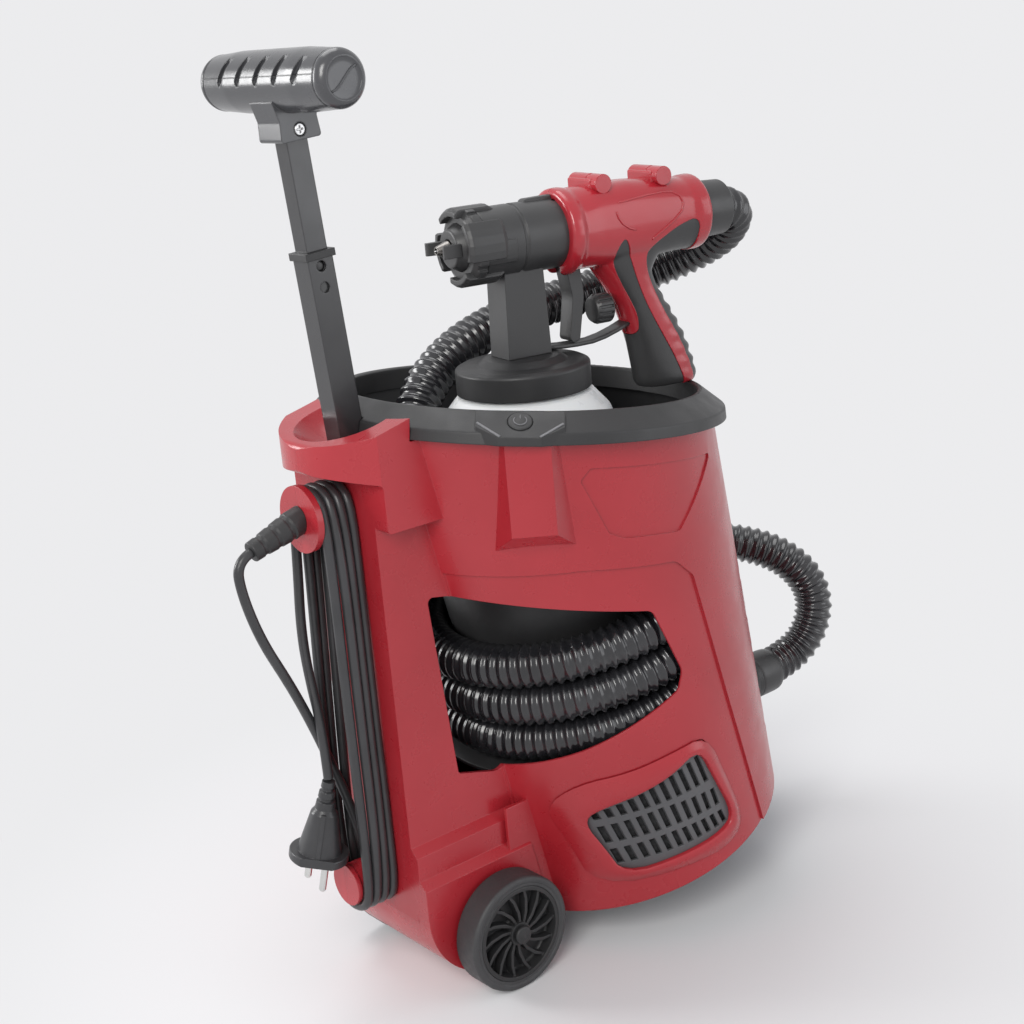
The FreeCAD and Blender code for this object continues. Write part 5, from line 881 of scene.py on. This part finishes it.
# %% Reds, blacks and greys of the mouldings
satin_red = moulded("satin_red_tub", (0.355, 0.016, 0.024), (0.405, 0.022, 0.032),
                    rough=(0.25, 0.34), grain=520.0, relief=0.05, corner=0.0007, coat=0.15)
polished_red = moulded("polished_red_gun", (0.365, 0.016, 0.025), (0.42, 0.022, 0.034),
                       rough=(0.19, 0.27), grain=300.0, relief=0.03, corner=0.0006, coat=0.3)
trim_black = moulded("grained_black_trim", (0.016, 0.016, 0.017), (0.025, 0.025, 0.026),
                     rough=(0.42, 0.52), grain=1300.0, relief=0.22)
gun_black = moulded("smooth_black_gun", (0.032, 0.032, 0.033), (0.044, 0.044, 0.045),
                    rough=(0.34, 0.44), grain=900.0, relief=0.10)
inside_grey = moulded("inside_grey", (0.07, 0.07, 0.075), (0.10, 0.10, 0.105),
                      rough=(0.45, 0.6), grain=800.0, relief=0.15)
handle_grey = moulded("satin_grey_handle", (0.042, 0.043, 0.047), (0.058, 0.059, 0.064),
                      rough=(0.20, 0.28), grain=900.0, relief=0.03, corner=0.0012, coat=0.35)
grille_grey = moulded("grille_grey", (0.075, 0.075, 0.08), (0.10, 0.10, 0.105),
                      rough=(0.42, 0.52), grain=1300.0, relief=0.15)
end_grey = moulded("pale_grey_marks", (0.16, 0.16, 0.17), (0.21, 0.21, 0.22),
                   rough=(0.32, 0.42), grain=900.0, relief=0.05, corner=0.0012)
tube_paint = moulded("black_tube_paint", (0.022, 0.022, 0.024), (0.030, 0.030, 0.032),
                     rough=(0.16, 0.24), grain=260.0, relief=0.05, corner=0.0012, coat=0.3)
soft_grip = moulded("soft_grip_rubber", (0.018, 0.018, 0.019), (0.028, 0.028, 0.029),
                    rough=(0.55, 0.7), grain=1500.0, relief=0.3)
hose_skin = moulded("glossy_hose", (0.012, 0.012, 0.014), (0.022, 0.022, 0.025),
                    rough=(0.14, 0.24), patch=40.0, grain=420.0, relief=0.05, corner=0.0004,
                    coat=0.4)
lead_skin = moulded("lead_sheath", (0.030, 0.030, 0.032), (0.042, 0.042, 0.045),
                    rough=(0.28, 0.40), patch=30.0, grain=900.0, relief=0.06, corner=0.0004)
tyre_rubber = moulded("tyre_rubber", (0.034, 0.034, 0.036), (0.048, 0.048, 0.050),
                      rough=(0.50, 0.66), patch=30.0, grain=1100.0, relief=0.2)
steel = moulded("plain_steel", (0.50, 0.50, 0.51), (0.60, 0.60, 0.60),
                rough=(0.22, 0.36), patch=60.0, grain=900.0, relief=0.05, metal=1.0)
nickel = moulded("nickel_plate", (0.66, 0.66, 0.65), (0.74, 0.74, 0.72),
                 rough=(0.10, 0.20), patch=60.0, grain=500.0, relief=0.03, metal=1.0)
dark_steel = moulded("dark_turned_steel", (0.16, 0.15, 0.14), (0.22, 0.21, 0.20),
                     rough=(0.20, 0.32), patch=60.0, grain=900.0, relief=0.05, metal=1.0)
milky_cup = moulded("milky_cup", (0.78, 0.81, 0.82), (0.84, 0.86, 0.87),
                    rough=(0.26, 0.36), patch=12.0, grain=500.0, relief=0.04, corner=0.0008)
foam_grey = moulded("open_foam", (0.010, 0.010, 0.011), (0.030, 0.030, 0.032),
                    rough=(0.8, 0.95), patch=420.0, grain=600.0, relief=0.9)

# %% Let light into the wall of the cup
cup_plastic = milky_cup.node_tree.nodes["Principled BSDF"]
cup_plastic.inputs["Subsurface Weight"].default_value = 0.35
cup_plastic.inputs["Subsurface Radius"].default_value = (0.010, 0.011, 0.012)
cup_plastic.inputs["Subsurface Scale"].default_value = 0.6

# %% Finish the pieces made here
coat_over(satin_red, inlet_frame, *tail_webs)
coat_over(polished_red, *gun_red)
coat_over(gun_black, sleeve, *gun_dark)
coat_over(grille_grey, inlet_grille)
coat_over(handle_grey, *grip_caps)
coat_over(end_grey, *badge_strips, *power_sign)
coat_over(hose_skin, hose)
coat_over(lead_skin, lead)

# %% Give each part of the model its finish
dress(satin_red, "housing_right", "housing_left")
dress(trim_black, "collar", "power_button", "base_plate", "front_foot", "gun_tray",
      "hose_core", "hose_deck", "handle_socket", "tube_collar", "wheel_hub_right",
      "wheel_hub_left", "push_caps", "hose_cuff", "cup_lid", "strain_relief")
dress(gun_black, "gun_barrel", "cap_ring", "air_cap", "trigger", "flow_knob", "hose_connector",
      "snap_button")
dress(inside_grey, "power_switch", "fan_stand", "fan_housing", "impeller", "outlet_duct",
      "pickup_tube")
dress(handle_grey, "grip_body", "grip_top")
dress(tube_paint, "outer_tube", "inner_tube")
dress(soft_grip, "foot_pad", "lid_gasket")
dress(lead_skin, "plug_body")
dress(tyre_rubber, "tyre_right", "tyre_left")
dress(steel, "housing_screws", "grip_screw", "axle", "motor_can", "snap_spring", "trigger_pin",
      "needle")
dress(nickel, "plug_pins")
dress(dark_steel, "fluid_nozzle")
dress(milky_cup, "cup")
dress(foam_grey, "filter_pad")

# %% [markdown]
# ## Floor, background and light
# The photograph has a pale grey sweep with one soft shadow. A sweep can be a bent sheet, but a
# flat floor is simpler: near the machine it is a matt surface that takes the shadow, and further
# off it turns into the even grey of the background, so that no horizon shows.

# %% The floor
sweep_grey = (0.838, 0.838, 0.852)
matt_grey = (0.80, 0.80, 0.81)
fade_start, fade_end = 0.16, 0.50
floor_reach = 6.0
floor_mesh = bpy.data.meshes.new("floor")
floor_mesh.from_pydata([(-floor_reach, -floor_reach, 0), (floor_reach, -floor_reach, 0),
                        (floor_reach, floor_reach, 0), (-floor_reach, floor_reach, 0)],
                       [], [(0, 1, 2, 3)])
floor = bpy.data.objects.new("floor", floor_mesh)
bpy.context.scene.collection.objects.link(floor)


def seen_straight(nodes, links):
    """One for rays from the camera, mirrors and glass, nought for light that falls on things."""
    path = nodes.new("ShaderNodeLightPath")
    either = nodes.new("ShaderNodeMath")
    either.operation = "MAXIMUM"
    links.new(path.outputs["Is Camera Ray"], either.inputs[0])
    links.new(path.outputs["Is Glossy Ray"], either.inputs[1])
    all_three = nodes.new("ShaderNodeMath")
    all_three.operation = "MAXIMUM"
    links.new(either.outputs[0], all_three.inputs[0])
    links.new(path.outputs["Is Transmission Ray"], all_three.inputs[1])
    return all_three.outputs[0]


# %% The floor's material, matt by the machine and the grey of the background further off
sweep = bpy.data.materials.new("pale_sweep")
sweep.use_nodes = True
nodes, links = sweep.node_tree.nodes, sweep.node_tree.links
matt = nodes["Principled BSDF"]
matt.inputs["Base Color"].default_value = (*matt_grey, 1.0)
matt.inputs["Roughness"].default_value = 0.9
matt.inputs["Specular IOR Level"].default_value = 0.1
plain = nodes.new("ShaderNodeEmission")
plain.inputs["Color"].default_value = (*sweep_grey, 1.0)
where = nodes.new("ShaderNodeTexCoord")
away = nodes.new("ShaderNodeVectorMath")
away.operation = "LENGTH"
links.new(where.outputs["Object"], away.inputs[0])
fade = nodes.new("ShaderNodeMapRange")
fade.interpolation_type = "SMOOTHSTEP"
fade.inputs["From Min"].default_value = fade_start
fade.inputs["From Max"].default_value = fade_end
links.new(away.outputs["Value"], fade.inputs["Value"])
faded = nodes.new("ShaderNodeMath")
faded.operation = "MULTIPLY"
links.new(fade.outputs["Result"], faded.inputs[0])
links.new(seen_straight(nodes, links), faded.inputs[1])
blend = nodes.new("ShaderNodeMixShader")
links.new(faded.outputs[0], blend.inputs["Fac"])
links.new(matt.outputs["BSDF"], blend.inputs[1])
links.new(plain.outputs["Emission"], blend.inputs[2])
links.new(blend.outputs["Shader"], nodes["Material Output"].inputs["Surface"])
floor_mesh.materials.append(sweep)

# %% The world: soft light on the machine, and the same grey where the camera sees it
world = bpy.data.worlds.new("studio_air")
world.use_nodes = True
nodes, links = world.node_tree.nodes, world.node_tree.links
air = nodes["Background"]
air.inputs["Color"].default_value = (0.93, 0.95, 1.0, 1.0)
air.inputs["Strength"].default_value = 0.42
wall = nodes.new("ShaderNodeBackground")
wall.inputs["Color"].default_value = (*sweep_grey, 1.0)
wall.inputs["Strength"].default_value = 1.0
either_air = nodes.new("ShaderNodeMixShader")
links.new(seen_straight(nodes, links), either_air.inputs["Fac"])
links.new(air.outputs["Background"], either_air.inputs[1])
links.new(wall.outputs["Background"], either_air.inputs[2])
links.new(either_air.outputs["Shader"], nodes["World Output"].inputs["Surface"])
bpy.context.scene.world = world

# %% [markdown]
# Glossy plastic is drawn by what it mirrors, so the lamps are large soft boxes. The main one
# stands to the left and in front, which throws the shadow to the right and behind as in the
# photograph. A wide weak one fills from the right, a narrow one behind the handle draws bright
# edges, and one above draws the tops.

# %% Four soft boxes
def soft_box(name, spot, target, width, height, power, tone=(1.0, 1.0, 1.0)):
    lamp = bpy.data.lights.new(name, "AREA")
    lamp.shape = "RECTANGLE"
    lamp.size, lamp.size_y = width, height
    lamp.energy = power
    lamp.color = tone
    box = bpy.data.objects.new(name, lamp)
    bpy.context.scene.collection.objects.link(box)
    box.location = spot
    box.rotation_euler = (Vector(target) - Vector(spot)).to_track_quat("-Z", "Y").to_euler()


soft_box("main_box", (-1.7, -1.3, 1.6), (0, 0, 0.25), 0.9, 1.3, 34.0, (1.0, 0.985, 0.96))
soft_box("fill_box", (1.5, -2.0, 0.9), (0, 0, 0.25), 1.6, 1.6, 13.0, (0.95, 0.97, 1.0))
soft_box("rim_box", (-1.35, 1.5, 0.95), (-0.1, 0, 0.4), 0.7, 0.9, 22.0)
soft_box("top_box", (0.1, 0.5, 2.1), (0, 0, 0.3), 1.2, 1.2, 13.0)

# %% Colours as written, with no grading
bpy.context.scene.view_settings.view_transform = "Standard"

# %% Bring the scene up to date
bpy.context.view_layer.update()
